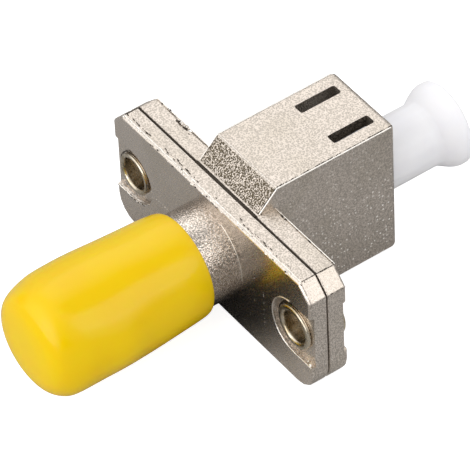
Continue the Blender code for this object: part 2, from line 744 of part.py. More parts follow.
def taut_radius(angle, round_radius, tip, half_width):
    """Radius of a skin pulled taut round a circle and over a lug on it.

    The skin lies flat on the lug's tip, runs straight from the lug's corner to where it
    touches the circle, and follows the circle from there.
    """
    corner = math.hypot(tip, half_width)
    if corner <= round_radius:
        return round_radius
    corner_angle = math.atan2(half_width, tip)
    touch_angle = corner_angle + math.acos(round_radius / corner)
    if angle <= corner_angle:
        return max(round_radius, tip / math.cos(angle))
    if angle <= touch_angle:
        return round_radius / math.cos(touch_angle - angle)
    return round_radius


def stretch_over_lugs(mesh):
    """Pull the cap's skin out over the two lugs, all the way from them to the mouth."""
    inner_tip = LUG_TIP_RADIUS + CAP_LUG_CLEARANCE
    half_width = LUG_RADIUS + CAP_LUG_CLEARANCE
    middle_of_wall = (BARREL_RADIUS + RUNNING_CLEARANCE + CAP_MOUTH_RADIUS) / 2
    body_middle = CAP_BODY_RADIUS - CAP_WALL / 2
    full_from = LUG_PLACE - LUG_RADIUS - CAP_LUG_CLEARANCE
    for vertex in mesh.vertices:
        x, height, y = vertex.co.x, -vertex.co.y, vertex.co.z + CAP_MOUTH
        radius = math.hypot(x, height)
        pull = min(1.0, max(0.0, (y - full_from + CAP_STRETCH_FADE) / CAP_STRETCH_FADE))
        if radius < BARREL_RADIUS or pull == 0.0:
            continue
        share = min(1.0, (CAP_MOUTH - y) / CAP_TAPER_LENGTH)
        border = middle_of_wall + (body_middle - middle_of_wall) * math.sin(share * math.pi / 2)
        tip = inner_tip if radius < border else inner_tip + CAP_STRETCHED_WALL
        angle = math.atan2(abs(height), abs(x))
        target = taut_radius(angle, radius, tip, half_width)
        factor = 1.0 + pull * (target / radius - 1.0)
        vertex.co.x = x * factor
        vertex.co.y = -height * factor


def make_cap(group, finish):
    """Vinyl cap over the barrel, its origin on the fibre axis at the mouth."""
    blank = turned("st_dust_cap_blank", cap_profile(), CAP_STEPS, on_axis(CAP_MOUTH), group, closed=True)
    bpy.context.view_layer.update()
    seen = blank.evaluated_get(bpy.context.evaluated_depsgraph_get())
    mesh = bpy.data.meshes.new_from_object(seen)
    stretch_over_lugs(mesh)
    cap = add_object("st_dust_cap", mesh, group, finish)
    cap.matrix_world = blank.matrix_world.copy()
    bpy.data.objects.remove(blank)
    return cap


def plug_profile():
    """Plug: hollow shank, flared back of the rim, rounded rim and a dished outer end."""
    rim = PLUG_RIM_RADIUS
    rounding = PLUG_RIM_ROUNDING
    outer = PLUG_OUTER_END
    shank = PLUG_SHANK_RADIUS
    flare_end = PLUG_FLARE_START + PLUG_FLARE_LENGTH
    entry = PLUG_WALL / 2
    bore = shank - PLUG_WALL
    bore_end = outer - PLUG_DISH_DEPTH - PLUG_END_WALL
    profile = [(0.0, outer - PLUG_DISH_DEPTH), (shank - entry, outer - PLUG_DISH_DEPTH)]
    profile += arc((rim - rounding, outer - rounding), rounding, 110, 0)
    for step in range(PLUG_FLARE_STEPS + 1):
        share = step / PLUG_FLARE_STEPS
        radius = rim + (shank - rim) * share**PLUG_FLARE_CURVE
        profile.append((radius, flare_end + (PLUG_FLARE_START - flare_end) * share))
    profile += [
        (shank, PLUG_INNER_END + entry),
        (shank - entry / 2, PLUG_INNER_END),
        (bore, PLUG_INNER_END),
        (bore, bore_end),
        (0.0, bore_end),
    ]
    return profile


def make_plug(group, finish):
    """Soft plug in the latching port, its origin on the fibre axis at the port's mouth."""
    return turned("lc_dust_plug", plug_profile(), PLUG_STEPS, on_axis(BOX_LENGTH), group, finish)


def shade(things):
    """Shade each piece smooth, with its sharp edges kept."""
    for thing in things:
        mesh = thing.data
        if mesh.polygons:
            mesh.shade_smooth()
            mesh.set_sharp_from_angle(angle=SHARP_ANGLE)


def main():
    """Build every piece."""
    clear_scene()
    adapter = new_collection("st_lc_adapter")
    cutters = new_collection("cutters")
    casting = make_material("nickel_plated_zinc", (0.66, 0.61, 0.56), 1.0, 0.38)
    bush_metal = make_material("nickel_plated_brass", (0.74, 0.7, 0.62), 1.0, 0.25)
    eyelet_metal = make_material("eyelet_brass", (0.72, 0.62, 0.44), 1.0, 0.3)
    zirconia = make_material("zirconia", (0.92, 0.91, 0.86), 0.0, 0.2)
    vinyl = make_material("yellow_vinyl", (0.93, 0.66, 0.02), 0.0, 0.35)
    soft_plug = make_material("white_polyethylene", (0.88, 0.88, 0.9), 0.0, 0.4)
    pieces = [
        make_st_housing(adapter, cutters, casting),
        make_lc_housing(adapter, cutters, casting),
        make_st_bush(adapter, bush_metal),
        make_lc_bush(adapter, bush_metal),
        make_retainer(adapter, bush_metal),
        make_split_sleeve(
            "st_split_sleeve",
            ST_FERRULE_RADIUS,
            ST_SLEEVE_WALL,
            ST_SLEEVE_FRONT,
            ST_SLEEVE_BACK,
            ST_SLEEVE_SLIT,
            adapter,
            cutters,
            zirconia,
        ),
        make_split_sleeve(
            "lc_split_sleeve",
            LC_FERRULE_RADIUS,
            LC_SLEEVE_WALL,
            LC_SLEEVE_FRONT,
            LC_SLEEVE_BACK,
            LC_SLEEVE_SLIT,
            adapter,
            cutters,
            zirconia,
        ),
        *make_eyelets(adapter, eyelet_metal),
        make_cap(adapter, vinyl),
        make_plug(adapter, soft_plug),
    ]
    shade(pieces)


main()
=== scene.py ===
"""Looks of a hybrid fibre adapter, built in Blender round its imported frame.

Two plated castings are clenched together by two eyelets. The front one carries a bayonet
barrel under a dipped vinyl cap, the rear one a latching port closed by a soft plug. All
lengths are metres unless named otherwise, +Y runs along the fibre axis towards the latching
port, and Z is zero on the flat underside.
"""

from __future__ import annotations

import logging
import math
from abc import ABC, abstractmethod
from collections.abc import Callable, Sequence
from dataclasses import dataclass, field
from enum import Enum

import bmesh
import bpy
from bpy.types import Material, Mesh, Node, NodeSocket, NodeTree, Object
from mathutils import Matrix, Vector

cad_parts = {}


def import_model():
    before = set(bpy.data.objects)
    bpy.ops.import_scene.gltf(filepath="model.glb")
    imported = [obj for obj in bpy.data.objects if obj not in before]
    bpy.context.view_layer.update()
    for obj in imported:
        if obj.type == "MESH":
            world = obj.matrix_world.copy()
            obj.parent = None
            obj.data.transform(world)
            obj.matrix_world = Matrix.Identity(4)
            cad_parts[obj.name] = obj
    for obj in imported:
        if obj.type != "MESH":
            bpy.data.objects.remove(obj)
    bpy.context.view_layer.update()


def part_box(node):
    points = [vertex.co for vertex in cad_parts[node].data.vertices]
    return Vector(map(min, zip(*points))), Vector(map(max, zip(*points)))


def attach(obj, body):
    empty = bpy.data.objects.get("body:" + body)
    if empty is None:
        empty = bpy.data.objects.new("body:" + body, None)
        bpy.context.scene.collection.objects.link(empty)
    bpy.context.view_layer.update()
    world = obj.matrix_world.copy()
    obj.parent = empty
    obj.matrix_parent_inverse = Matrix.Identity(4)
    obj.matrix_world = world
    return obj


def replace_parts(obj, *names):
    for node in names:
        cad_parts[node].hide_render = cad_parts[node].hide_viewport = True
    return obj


LOG = logging.getLogger("fibre_adapter")
MM = 0.001
ADAPTER = "adapter"
WHITE = (1.0, 1.0, 1.0, 1.0)

Colour = tuple[float, float, float]
Place = tuple[float, float, float]
Band = tuple[float, float]
Profile = list[tuple[float, float]]

# Where smooth noise has most of its values
GRAIN: Band = (0.3, 0.7)
# How much of a face's normal lies along an axis where the face looks that way, or leans that way
FACING = 0.9
LEANING = 0.5


class Side(Enum):
    """The two ends of the flange."""

    LEFT = -1.0
    RIGHT = 1.0


class Slot(Enum):
    """The record's material slots."""

    CASTING = "casting"
    EYELET = "eyelet"
    BUSH = "bush"
    CERAMIC = "ceramic"
    VINYL = "vinyl"
    PLUG = "plug"


class NodeGraph:
    """A node tree, with one short call that adds a node, sets it and links it."""

    def __init__(self, tree: NodeTree) -> None:
        """Work on a tree."""
        self.tree = tree

    def add(self, kind: str, inputs: dict | None = None, **settings: object) -> Node:
        """Add a node, with its settings and its inputs.

        Args:
            kind: The node's Blender type.
            inputs: Input name or index to what feeds it.
            settings: Attributes of the node.

        Returns:
            The new node.
        """
        node = self.tree.nodes.new(kind)
        for key, value in settings.items():
            setattr(node, key, value)
        for key, value in (inputs or {}).items():
            self.feed(node.inputs[key], value)
        return node

    def feed(self, socket: NodeSocket, value: object) -> None:
        """Link a socket to what feeds it, or set its value.

        Args:
            socket: The socket to fill.
            value: A socket, a node that stands for its first output, or a plain value.
        """
        if isinstance(value, Node):
            value = value.outputs[0]
        if isinstance(value, NodeSocket):
            self.tree.links.new(value, socket)
        else:
            socket.default_value = value


class ShaderGraph(NodeGraph):
    """A shader tree, with short calls for the nodes that the finishes share."""

    def place(self) -> NodeSocket:
        """The point's place on the piece, in metres."""
        return self.add("ShaderNodeTexCoord").outputs["Object"]

    def distance(self, centre: Place) -> NodeSocket:
        """How far the point lies from a place."""
        inputs = {0: self.place(), 1: centre}
        return self.add("ShaderNodeVectorMath", inputs, operation="DISTANCE").outputs["Value"]

    def noise(self, scale: float, detail: float = 2.0) -> NodeSocket:
        """Smooth noise from 0 to 1, with scale cells to the metre."""
        inputs = {"Scale": scale, "Detail": detail, "Vector": self.place()}
        return self.add("ShaderNodeTexNoise", inputs).outputs["Fac"]

    def attribute(self, name: str) -> NodeSocket:
        """A number that the piece's faces carry."""
        return self.add("ShaderNodeAttribute", attribute_name=name).outputs["Fac"]

    def maths(self, operation: str, first: object, second: object) -> NodeSocket:
        """One step of arithmetic, kept from 0 to 1."""
        inputs = {0: first, 1: second}
        return self.add("ShaderNodeMath", inputs, operation=operation, use_clamp=True).outputs[0]

    def times(self, product: object, *others: object) -> object:
        """Multiply numbers, keeping each product from 0 to 1.

        Args:
            product: The first number.
            others: The rest.

        Returns:
            Their product.
        """
        for other in others:
            product = self.maths("MULTIPLY", product, other)
        return product

    def rest(self, value: object) -> NodeSocket:
        """What a number leaves of one."""
        return self.maths("SUBTRACT", 1.0, value)

    def between(self, value: object, band: Band, result: Band = (0.0, 1.0)) -> NodeSocket:
        """Map one band of values smoothly onto another."""
        inputs = dict(zip(("From Min", "From Max", "To Min", "To Max"), (*band, *result)), Value=value)
        return self.add("ShaderNodeMapRange", inputs, interpolation_type="SMOOTHSTEP").outputs["Result"]

    def mix(self, share: object, first: object, second: object) -> NodeSocket:
        """Blend two colours.

        Args:
            share: How much of the second shows.
            first: A colour, or the socket of one.
            second: A colour, or the socket of one.

        Returns:
            The blend.
        """
        node = self.add("ShaderNodeMix", {"Factor": share}, data_type="RGBA")
        for name, value in (("A", first), ("B", second)):
            socket = next(s for s in node.inputs if s.name == name and s.type == "RGBA")
            self.feed(socket, value if isinstance(value, NodeSocket) else (*value, 1.0))
        return next(s for s in node.outputs if s.type == "RGBA")

    def bump(self, height: object, depth: float, strength: object = 1.0, below: object = None) -> NodeSocket:
        """Tilt the surface by a height.

        Args:
            height: The height, from 0 to 1.
            depth: What a height of 1 measures.
            strength: How much of the tilt shows.
            below: The tilt that this one lies on, if any.

        Returns:
            The tilted normal.
        """
        inputs = {"Height": height, "Distance": depth, "Strength": strength}
        if below is not None:
            inputs["Normal"] = below
        return self.add("ShaderNodeBump", inputs).outputs["Normal"]


class MaterialGraph(ShaderGraph):
    """The tree of a new material, round its Principled shader."""

    def __init__(self, name: str) -> None:
        """Start the material.

        Args:
            name: Its name.
        """
        self.material = bpy.data.materials.new(name)
        self.material.use_nodes = True
        super().__init__(self.material.node_tree)

    def dress(self, **values: object) -> Material:
        """Fill the shader's inputs.

        Args:
            values: Input name, with underscores, to what feeds it.

        Returns:
            The material.
        """
        shader = self.tree.nodes["Principled BSDF"]
        for key, value in values.items():
            self.feed(shader.inputs[key.replace("_", " ")], value)
        return self.material


@dataclass(frozen=True)
class PlatedCastingFinish:
    """Nickel on die-cast zinc: warm metal with sand grain, pits in painted shade and painted glints.

    The faces carry five numbers: fine and coarse, how deep the two grains of the cast skin
    are, gloss, how polished it is, glints, how thickly bright dots of painted glint lie on it,
    and tone, from painted shade at minus one to painted highlight at plus one.
    """

    name: str = "plated_casting"
    metal: Colour = (0.745, 0.665, 0.59)
    # The pit and crater colours are painted shade, darkening the hollows of the fine and coarse grain.
    pit_shade: Colour = (0.40, 0.355, 0.305)
    crater_shade: Colour = (0.13, 0.105, 0.07)
    # Near-black painted shade, for creases, seams and gaps, and for tone below zero.
    grime: Colour = (0.025, 0.018, 0.012)
    stain: Colour = (0.64, 0.57, 0.48)
    # The painted highlight colour, of glints and of tone above zero.
    painted_highlight: Colour = (0.97, 0.93, 0.87)
    fine_per_metre: float = 9200.0
    coarse_per_metre: float = 9800.0
    glints_per_metre: float = 4000.0
    stains_per_metre: float = 300.0
    fine_depth: float = 0.034 * MM
    coarse_depth: float = 0.08 * MM
    pit_shade_band: Band = (0.62, 0.36)
    crater_shade_band: Band = (0.64, 0.40)
    stain_band: Band = (0.45, 0.70)
    stain_strength: float = 0.6
    lone_cell_band: Band = (0.52, 0.60)
    glint_edge_band: Band = (0.37, 0.18)
    glint_height_band: Band = (11.0 * MM, 3.0 * MM)
    glint_share_on_top: float = 0.35
    glint_dullness: float = 0.7
    matt_roughness: float = 0.44
    polishing: float = 0.32
    grain_roughness: float = 0.08

    def build(self) -> Material:
        """Make the material.

        Returns:
            The material.
        """
        graph = MaterialGraph(self.name)
        fine, coarse = graph.noise(self.fine_per_metre, 0.0), graph.noise(self.coarse_per_metre, 0.0)
        fine_share, coarse_share, gloss = (graph.attribute(name) for name in ("fine", "coarse", "gloss"))
        # Pits and craters darken the colour as painted shade in the grain's hollows, craters less where
        # glossy.
        pit_shades = graph.times(graph.between(fine, self.pit_shade_band), fine_share)
        crater_shades = graph.times(graph.between(coarse, self.crater_shade_band), coarse_share, graph.rest(gloss))
        # Bright dots are painted glints: lighter, less metallic, and more of them lower down.
        cells = graph.add("ShaderNodeTexVoronoi", {"Scale": self.glints_per_metre, "Vector": graph.place()})
        lone = graph.between(cells.outputs["Color"], self.lone_cell_band)
        dot = graph.between(cells.outputs["Distance"], self.glint_edge_band)
        height = graph.add("ShaderNodeSeparateXYZ", {0: graph.place()}).outputs["Z"]
        low_down = graph.between(height, self.glint_height_band, (self.glint_share_on_top, 1.0))
        painted_highlight = graph.times(lone, dot, graph.attribute("specks"), low_down)
        stains = graph.noise(self.stains_per_metre, 3.0)
        stain = graph.between(stains, self.stain_band, (0.0, self.stain_strength))
        tone = graph.attribute("tone")
        colour = graph.mix(pit_shades, graph.mix(stain, self.metal, self.stain), self.pit_shade)
        colour = graph.mix(crater_shades, colour, self.crater_shade)
        # Tone below zero mixes in the near-black painted shade.
        colour = graph.mix(graph.times(tone, -1.0), colour, self.grime)
        polished = graph.maths("SUBTRACT", self.matt_roughness, graph.times(gloss, self.polishing))
        grainy = graph.between(fine, GRAIN, (0.0, self.grain_roughness))
        deep = graph.bump(coarse, self.coarse_depth, coarse_share)
        return graph.dress(
            # Glints, and tone above zero, mix in the painted highlight colour.
            Base_Color=graph.mix(graph.maths("MAXIMUM", painted_highlight, tone), colour, self.painted_highlight),
            Metallic=graph.rest(graph.times(painted_highlight, self.glint_dullness)),
            Roughness=graph.maths("ADD", polished, grainy),
            Normal=graph.bump(fine, self.fine_depth, fine_share, deep),
        )


@dataclass(frozen=True)
class MetalFinish:
    """A turned or rolled metal with fine scratches and a little tarnish."""

    name: str
    metal: Colour
    tarnish: Colour
    tarnish_band: Band = (0.4, 0.7)
    roughness: Band = (0.18, 0.34)
    marks_per_metre: float = 4200.0
    marks_depth: float = 0.012 * MM
    marks_strength: float = 0.5

    def build(self) -> Material:
        """Make the material.

        Returns:
            The material.
        """
        graph = MaterialGraph(self.name)
        marks = graph.noise(self.marks_per_metre, 3.0)
        tarnish = graph.between(graph.noise(self.marks_per_metre / 4), self.tarnish_band)
        return graph.dress(
            Base_Color=graph.mix(tarnish, self.metal, self.tarnish),
            Metallic=1.0,
            Roughness=graph.between(marks, GRAIN, self.roughness),
            Normal=graph.bump(marks, self.marks_depth, self.marks_strength),
        )


@dataclass(frozen=True)
class CeramicFinish:
    """Ground and polished zirconia."""

    name: str = "polished_zirconia"
    body: Colour = (0.90, 0.89, 0.84)
    shade: Colour = (0.82, 0.80, 0.73)
    clouds_per_metre: float = 900.0
    skin_per_metre: float = 5000.0
    roughness: Band = (0.16, 0.24)

    def build(self) -> Material:
        """Make the material.

        Returns:
            The material.
        """
        graph = MaterialGraph(self.name)
        return graph.dress(
            Base_Color=graph.mix(graph.noise(self.clouds_per_metre), self.body, self.shade),
            Roughness=graph.between(graph.noise(self.skin_per_metre), GRAIN, self.roughness),
        )


@dataclass(frozen=True)
class DippedVinylFinish:
    """Glossy yellow vinyl, thinner and cooler where the dip ran off."""

    name: str = "dipped_vinyl"
    yellow: Colour = (0.775, 0.525, 0.002)
    thin: Colour = (0.775, 0.505, 0.002)
    runs_per_metre: float = 240.0
    runs_band: Band = (0.35, 0.7)
    runs_depth: float = 0.25 * MM
    runs_strength: float = 0.35
    skin_per_metre: float = 2600.0
    skin_depth: float = 0.01 * MM
    skin_strength: float = 0.12
    roughness: Band = (0.11, 0.17)
    specular: float = 0.24
    glow: float = 0.30
    glow_reach: Colour = (1.0, 0.30, 0.03)
    glow_depth: float = 0.4 * MM

    def build(self) -> Material:
        """Make the material.

        Returns:
            The material.
        """
        graph = MaterialGraph(self.name)
        runs, skin = graph.noise(self.runs_per_metre, 1.0), graph.noise(self.skin_per_metre)
        below = graph.bump(skin, self.skin_depth, self.skin_strength)
        return graph.dress(
            Base_Color=graph.mix(graph.between(runs, self.runs_band), self.yellow, self.thin),
            Roughness=graph.between(skin, GRAIN, self.roughness),
            Specular_IOR_Level=self.specular,
            Subsurface_Weight=self.glow,
            Subsurface_Radius=self.glow_reach,
            Subsurface_Scale=self.glow_depth,
            Normal=graph.bump(runs, self.runs_depth, self.runs_strength, below),
        )


@dataclass(frozen=True)
class SoftPlugFinish:
    """Milky soft plastic that lets some light through."""

    name: str = "milky_plastic"
    body: Colour = (0.875, 0.865, 0.885)
    shade: Colour = (0.85, 0.84, 0.87)
    clouds_per_metre: float = 520.0
    clouds_band: Band = (0.4, 0.7)
    skin_per_metre: float = 3000.0
    skin_depth: float = 0.01 * MM
    skin_strength: float = 0.15
    roughness: Band = (0.30, 0.40)
    glow: float = 0.45
    glow_reach: Colour = (1.0, 0.95, 0.9)
    glow_depth: float = 1.1 * MM

    def build(self) -> Material:
        """Make the material.

        Returns:
            The material.
        """
        graph = MaterialGraph(self.name)
        clouds, skin = graph.noise(self.clouds_per_metre), graph.noise(self.skin_per_metre)
        return graph.dress(
            Base_Color=graph.mix(graph.between(clouds, self.clouds_band), self.body, self.shade),
            Roughness=graph.between(skin, GRAIN, self.roughness),
            Subsurface_Weight=self.glow,
            Subsurface_Radius=self.glow_reach,
            Subsurface_Scale=self.glow_depth,
            Normal=graph.bump(skin, self.skin_depth, self.skin_strength),
        )


class GeometryTree(NodeGraph):
    """A Geometry Nodes tree with named inputs, the last of them its material."""

    def __init__(self, name: str, inputs: dict[str, str]) -> None:
        """Start a tree that takes and gives a geometry.

        Args:
            name: The tree's name.
            inputs: Each further input's name, and the type of its socket.
        """
        super().__init__(bpy.data.node_groups.new(name, "GeometryNodeTree"))
        interface = self.tree.interface
        interface.new_socket("Geometry", in_out="OUTPUT", socket_type="NodeSocketGeometry")
        interface.new_socket("Geometry", in_out="INPUT", socket_type="NodeSocketGeometry")
        self.identifiers = {
            title: interface.new_socket(title, in_out="INPUT", socket_type=kind).identifier
            for title, kind in {**inputs, "Material": "NodeSocketMaterial"}.items()
        }
        self.source = self.add("NodeGroupInput")
        self.sink = self.add("NodeGroupOutput")

    def named(self, title: str) -> NodeSocket:
        """The socket of one of the tree's inputs."""
        return self.source.outputs[title]

    def line(self) -> Node:
        """The carrier's line as a curve."""
        return self.add("GeometryNodeMeshToCurve", {"Mesh": self.source})

    def maths(self, operation: str, first: object, second: object, third: object = 0.0) -> Node:
        """One step of arithmetic on numbers."""
        return self.add("ShaderNodeMath", {0: first, 1: second, 2: third}, operation=operation)

    def vector(self, operation: str, inputs: dict) -> Node:
        """One step of arithmetic on vectors."""
        return self.add("ShaderNodeVectorMath", inputs, operation=operation)

    def close(self, result: Node) -> None:
        """Realize the result, give it its material and send it out.

        Args:
            result: The node that gives it.
        """
        real = self.add("GeometryNodeRealizeInstances", {"Geometry": result})
        dressed = self.add("GeometryNodeSetMaterial", {"Geometry": real, "Material": self.named("Material")})
        self.feed(self.sink.inputs["Geometry"], dressed)

    def grow(self, carrier: Object, values: dict[str, object]) -> Mesh:
        """Run the tree on a carrier, and take the result as a plain mesh.

        Args:
            carrier: The object whose mesh the tree works on. It is removed.
            values: A value for each named input.

        Returns:
            The mesh that the tree makes.
        """
        modifier = carrier.modifiers.new(self.tree.name, "NODES")
        modifier.node_group = self.tree
        for title, value in values.items():
            modifier[self.identifiers[title]] = value
        mesh = plain_mesh(carrier)
        bpy.data.objects.remove(carrier)
        return mesh


def plain_mesh(thing: Object) -> Mesh:
    """The mesh of an object as its modifiers leave it."""
    bpy.context.view_layer.update()
    return bpy.data.meshes.new_from_object(thing.evaluated_get(bpy.context.evaluated_depsgraph_get()))


def add_piece(name: str, mesh: Mesh, material: Material | None = None) -> Object:
    """Put a mesh in the scene as a named piece.

    Args:
        name: The piece's name.
        mesh: Its mesh, with its place in it.
        material: Its finish, or nothing to keep the mesh's own.

    Returns:
        The new object.
    """
    if material:
        mesh.materials.clear()
        mesh.materials.append(material)
    piece = bpy.data.objects.new(name, mesh)
    bpy.context.scene.collection.objects.link(piece)
    return piece


def arc(centre: tuple[float, float], radius: float, start: float, end: float, steps: int = 8) -> Profile:
    """Points of an arc, from one angle to the other, in degrees."""
    turns = (math.radians(start + (end - start) * step / steps) for step in range(steps + 1))
    return [(centre[0] + radius * math.cos(t), centre[1] + radius * math.sin(t)) for t in turns]


def spline(knots: Sequence[float], share: float) -> float:
    """A value between the second and third of four knots of a smooth curve.

    Args:
        knots: The values at the knots.
        share: How far on it lies, from 0 at the second knot to 1 at the third.

    Returns:
        The value.
    """
    before, first, last, after = knots
    bend = 2 * before - 5 * first + 4 * last - after
    twist = 3 * first - before - 3 * last + after
    return 0.5 * (2 * first + (last - before) * share + bend * share * share + twist * share**3)


def smooth_line(points: Profile, steps: int = 6) -> Profile:
    """A smooth curve through the points of a profile.

    Args:
        points: The points.
        steps: Steps from each point to the next.

    Returns:
        Points of the curve.
    """
    ends = [points[0], *points, points[-1]]
    line: Profile = []
    for knots in zip(ends, ends[1:], ends[2:], ends[3:]):
        line += [tuple(spline(axis, step / steps) for axis in zip(*knots)) for step in range(steps)]
    return [*line, points[-1]]


def turned_mesh(
    name: str,
    profile: Profile,
    centre: tuple[float, float],
    steps: int,
    warp: Callable[[float, float, float], float] | None = None,
    sharp: float = 40.0,
) -> Mesh:
    """Turn a (radius, y) profile about a line along Y.

    Args:
        name: The mesh's name.
        profile: A ring: the outer side from high Y to low Y, then back up inside.
        centre: X and Z of the line.
        steps: Facets round it.
        warp: Gives a point's radius from its radius, its y and its angle from +X.
        sharp: Edges sharper than this many degrees stay sharp.

    Returns:
        The mesh, with its faces outwards.
    """
    shell = bmesh.new()
    rings = []
    for radius, y in profile:
        if radius < 1e-9:
            rings.append([shell.verts.new((centre[0], y, centre[1]))])
            continue
        ring = []
        for step in range(steps):
            angle = 2 * math.pi * step / steps
            real = warp(radius, y, angle) if warp else radius
            x, z = centre[0] + real * math.cos(angle), centre[1] + real * math.sin(angle)
            ring.append(shell.verts.new((x, y, z)))
        rings.append(ring)
    for upper, lower in zip(rings, [*rings[1:], rings[0]]):
        for step in range(steps if len(upper) + len(lower) > 2 else 0):
            after = (step + 1) % steps
            if len(upper) == 1:
                shell.faces.new((upper[0], lower[step], lower[after]))
            elif len(lower) == 1:
                shell.faces.new((upper[after], upper[step], lower[0]))
            else:
                shell.faces.new((upper[after], upper[step], lower[step], lower[after]))
    mesh = bpy.data.meshes.new(name)
    shell.to_mesh(mesh)
    shell.free()
    mesh.shade_smooth()
    mesh.set_sharp_from_angle(angle=math.radians(sharp))
    return mesh


def merged_copy(node: str, reshape: Callable[[Vector], Vector], sharp: float = 24.0) -> Mesh:
    """A welded copy of a frame node's mesh, shaded smooth with flat faces kept flat.

    Args:
        node: The node's name.
        reshape: Gives a point's place on the copy from its place on the node.
        sharp: Edges sharper than this many degrees stay sharp.

    Returns:
        The copy.
    """
    shell = bmesh.new()
    shell.from_mesh(bpy.data.objects[node].data)
    bmesh.ops.remove_doubles(shell, verts=shell.verts, dist=0.0002 * MM)
    for vertex in shell.verts:
        vertex.co = reshape(vertex.co)
    bmesh.ops.dissolve_limit(shell, angle_limit=math.radians(0.4), verts=shell.verts, edges=shell.edges)
    mesh = bpy.data.meshes.new(f"{node}_skin")
    shell.to_mesh(mesh)
    shell.free()
    mesh.shade_smooth()
    mesh.set_sharp_from_angle(angle=math.radians(sharp))
    carrier = add_piece(f"{node}_carrier", mesh)
    weigh = carrier.modifiers.new("Weigh", "WEIGHTED_NORMAL")
    weigh.keep_sharp = True
    weigh.weight = 100
    skin = plain_mesh(carrier)
    bpy.data.objects.remove(carrier)
    return skin


@dataclass(frozen=True)
class Skin:
    """How the cast skin looks on one kind of face."""

    fine: float
    coarse: float
    gloss: float
    specks: float
    tone: float = 0.0

    def paint(self, mesh: Mesh) -> None:
        """Write these numbers on every face of a mesh."""
        paint_skin(mesh, [self] * len(mesh.polygons))


class CastSkin(Enum):
    """The kinds of face that the castings have."""

    # Tone above zero lightens a face towards the painted highlight colour: painted highlight on tops, edges
    # and flash.
    TOP = Skin(fine=0.85, coarse=0.07, gloss=0.25, specks=0.35, tone=0.04)
    SIDE = Skin(fine=0.60, coarse=0.32, gloss=0.38, specks=1.0)
    SLOPE = Skin(fine=0.40, coarse=1.0, gloss=0.02, specks=0.15)
    FRONT = Skin(fine=0.12, coarse=0.0, gloss=0.74, specks=0.3)
    BARREL = Skin(fine=0.95, coarse=0.35, gloss=0.94, specks=0.3)
    EDGE = Skin(fine=0.40, coarse=0.25, gloss=0.30, specks=0.2, tone=0.3)
    FACET = Skin(fine=0.55, coarse=0.0, gloss=0.30, specks=0.1)
    FLASH = Skin(fine=0.15, coarse=0.10, gloss=0.35, specks=0.0, tone=0.85)
    CRUMB = Skin(fine=0.30, coarse=0.20, gloss=0.30, specks=0.0, tone=0.3)
    # Near-black painted shade, for creases, seams and gaps.
    GRIME = Skin(fine=0.30, coarse=0.30, gloss=0.0, specks=0.0, tone=-0.95)
    # The inside of the port, darkened towards the near-black colour as painted shade.
    CAVITY = Skin(fine=0.60, coarse=0.60, gloss=0.10, specks=0.1, tone=-0.30)


def paint_skin(mesh: Mesh, skins: Sequence[Skin]) -> None:
    """Write a skin's numbers on each face.

    Args:
        mesh: The casting's mesh.
        skins: The skin of each face.
    """
    for name in ("fine", "coarse", "gloss", "specks", "tone"):
        layer = mesh.attributes.new(name, "FLOAT", "FACE")
        layer.data.foreach_set("value", [getattr(skin, name) for skin in skins])


def ridge_tree() -> GeometryTree:
    """The tree that grows a thin uneven ridge of metal along a line.

    Returns:
        The tree.
    """
    titles = ("Step", "Thickness", "Wander", "Unevenness", "Lumps", "Seed")
    tree = GeometryTree("flash_ridge", dict.fromkeys(titles, "NodeSocketFloat"))
    step, thickness, wander, unevenness, lumps, seed = map(tree.named, titles)
    fine = tree.add("GeometryNodeResampleCurve", {"Curve": tree.line(), "Length": step}, mode="LENGTH")
    cloud = tree.add("ShaderNodeTexNoise", {"Scale": lumps, "Detail": 2.0, "W": seed}, noise_dimensions="4D")
    centred = tree.vector("SUBTRACT", {0: cloud.outputs["Color"], 1: (0.5, 0.5, 0.5)})
    shift = tree.vector("SCALE", {0: centred, "Scale": wander})
    moved = tree.add("GeometryNodeSetPosition", {"Geometry": fine, "Offset": shift})
    swell = tree.maths("MULTIPLY_ADD", tree.maths("SUBTRACT", cloud, 0.5), unevenness, 1.0)
    radius = tree.maths("MULTIPLY", swell, thickness)
    section = tree.add("GeometryNodeCurvePrimitiveCircle", {"Resolution": 8, "Radius": 1.0})
    inputs = {"Curve": moved, "Profile Curve": section, "Scale": radius, "Fill Caps": True}
    tree.close(tree.add("GeometryNodeCurveToMesh", inputs))
    return tree


def crumb_tree() -> GeometryTree:
    """The tree that strews small lumps along a line.

    Returns:
        The tree.
    """
    kinds = {"Step": "Float", "Shape": "Vector", "Wander": "Vector", "Gaps": "Float", "Seed": "Int"}
    tree = GeometryTree("metal_specks", {title: f"NodeSocket{kind}" for title, kind in kinds.items()})
    step, shape, wander, gaps, seed = map(tree.named, kinds)
    points = tree.add("GeometryNodeCurveToPoints", {"Curve": tree.line(), "Length": step}, mode="LENGTH")
    chance = tree.add("FunctionNodeRandomValue", {6: gaps, "Seed": seed}, data_type="BOOLEAN")
    left_out = {"Geometry": points, "Selection": chance.outputs[3]}
    kept = tree.add("GeometryNodeDeleteGeometry", left_out)
    ends = {0: (-1.0, -1.0, -1.0), 1: (1.0, 1.0, 1.0), "Seed": seed}
    loose = tree.add("FunctionNodeRandomValue", ends, data_type="FLOAT_VECTOR")
    shift = tree.vector("MULTIPLY", {0: loose, 1: wander})
    size = tree.add("FunctionNodeRandomValue", {2: 0.5, 3: 1.4, "Seed": seed}, data_type="FLOAT")
    inputs = {
        "Points": tree.add("GeometryNodeSetPosition", {"Geometry": kept, "Offset": shift}),
        "Instance": tree.add("GeometryNodeMeshIcoSphere", {"Radius": 1.0, "Subdivisions": 2}),
        "Rotation": points.outputs["Rotation"],
        "Scale": tree.vector("SCALE", {0: shape, "Scale": size.outputs[1]}),
    }
    tree.close(tree.add("GeometryNodeInstanceOnPoints", inputs))
    return tree


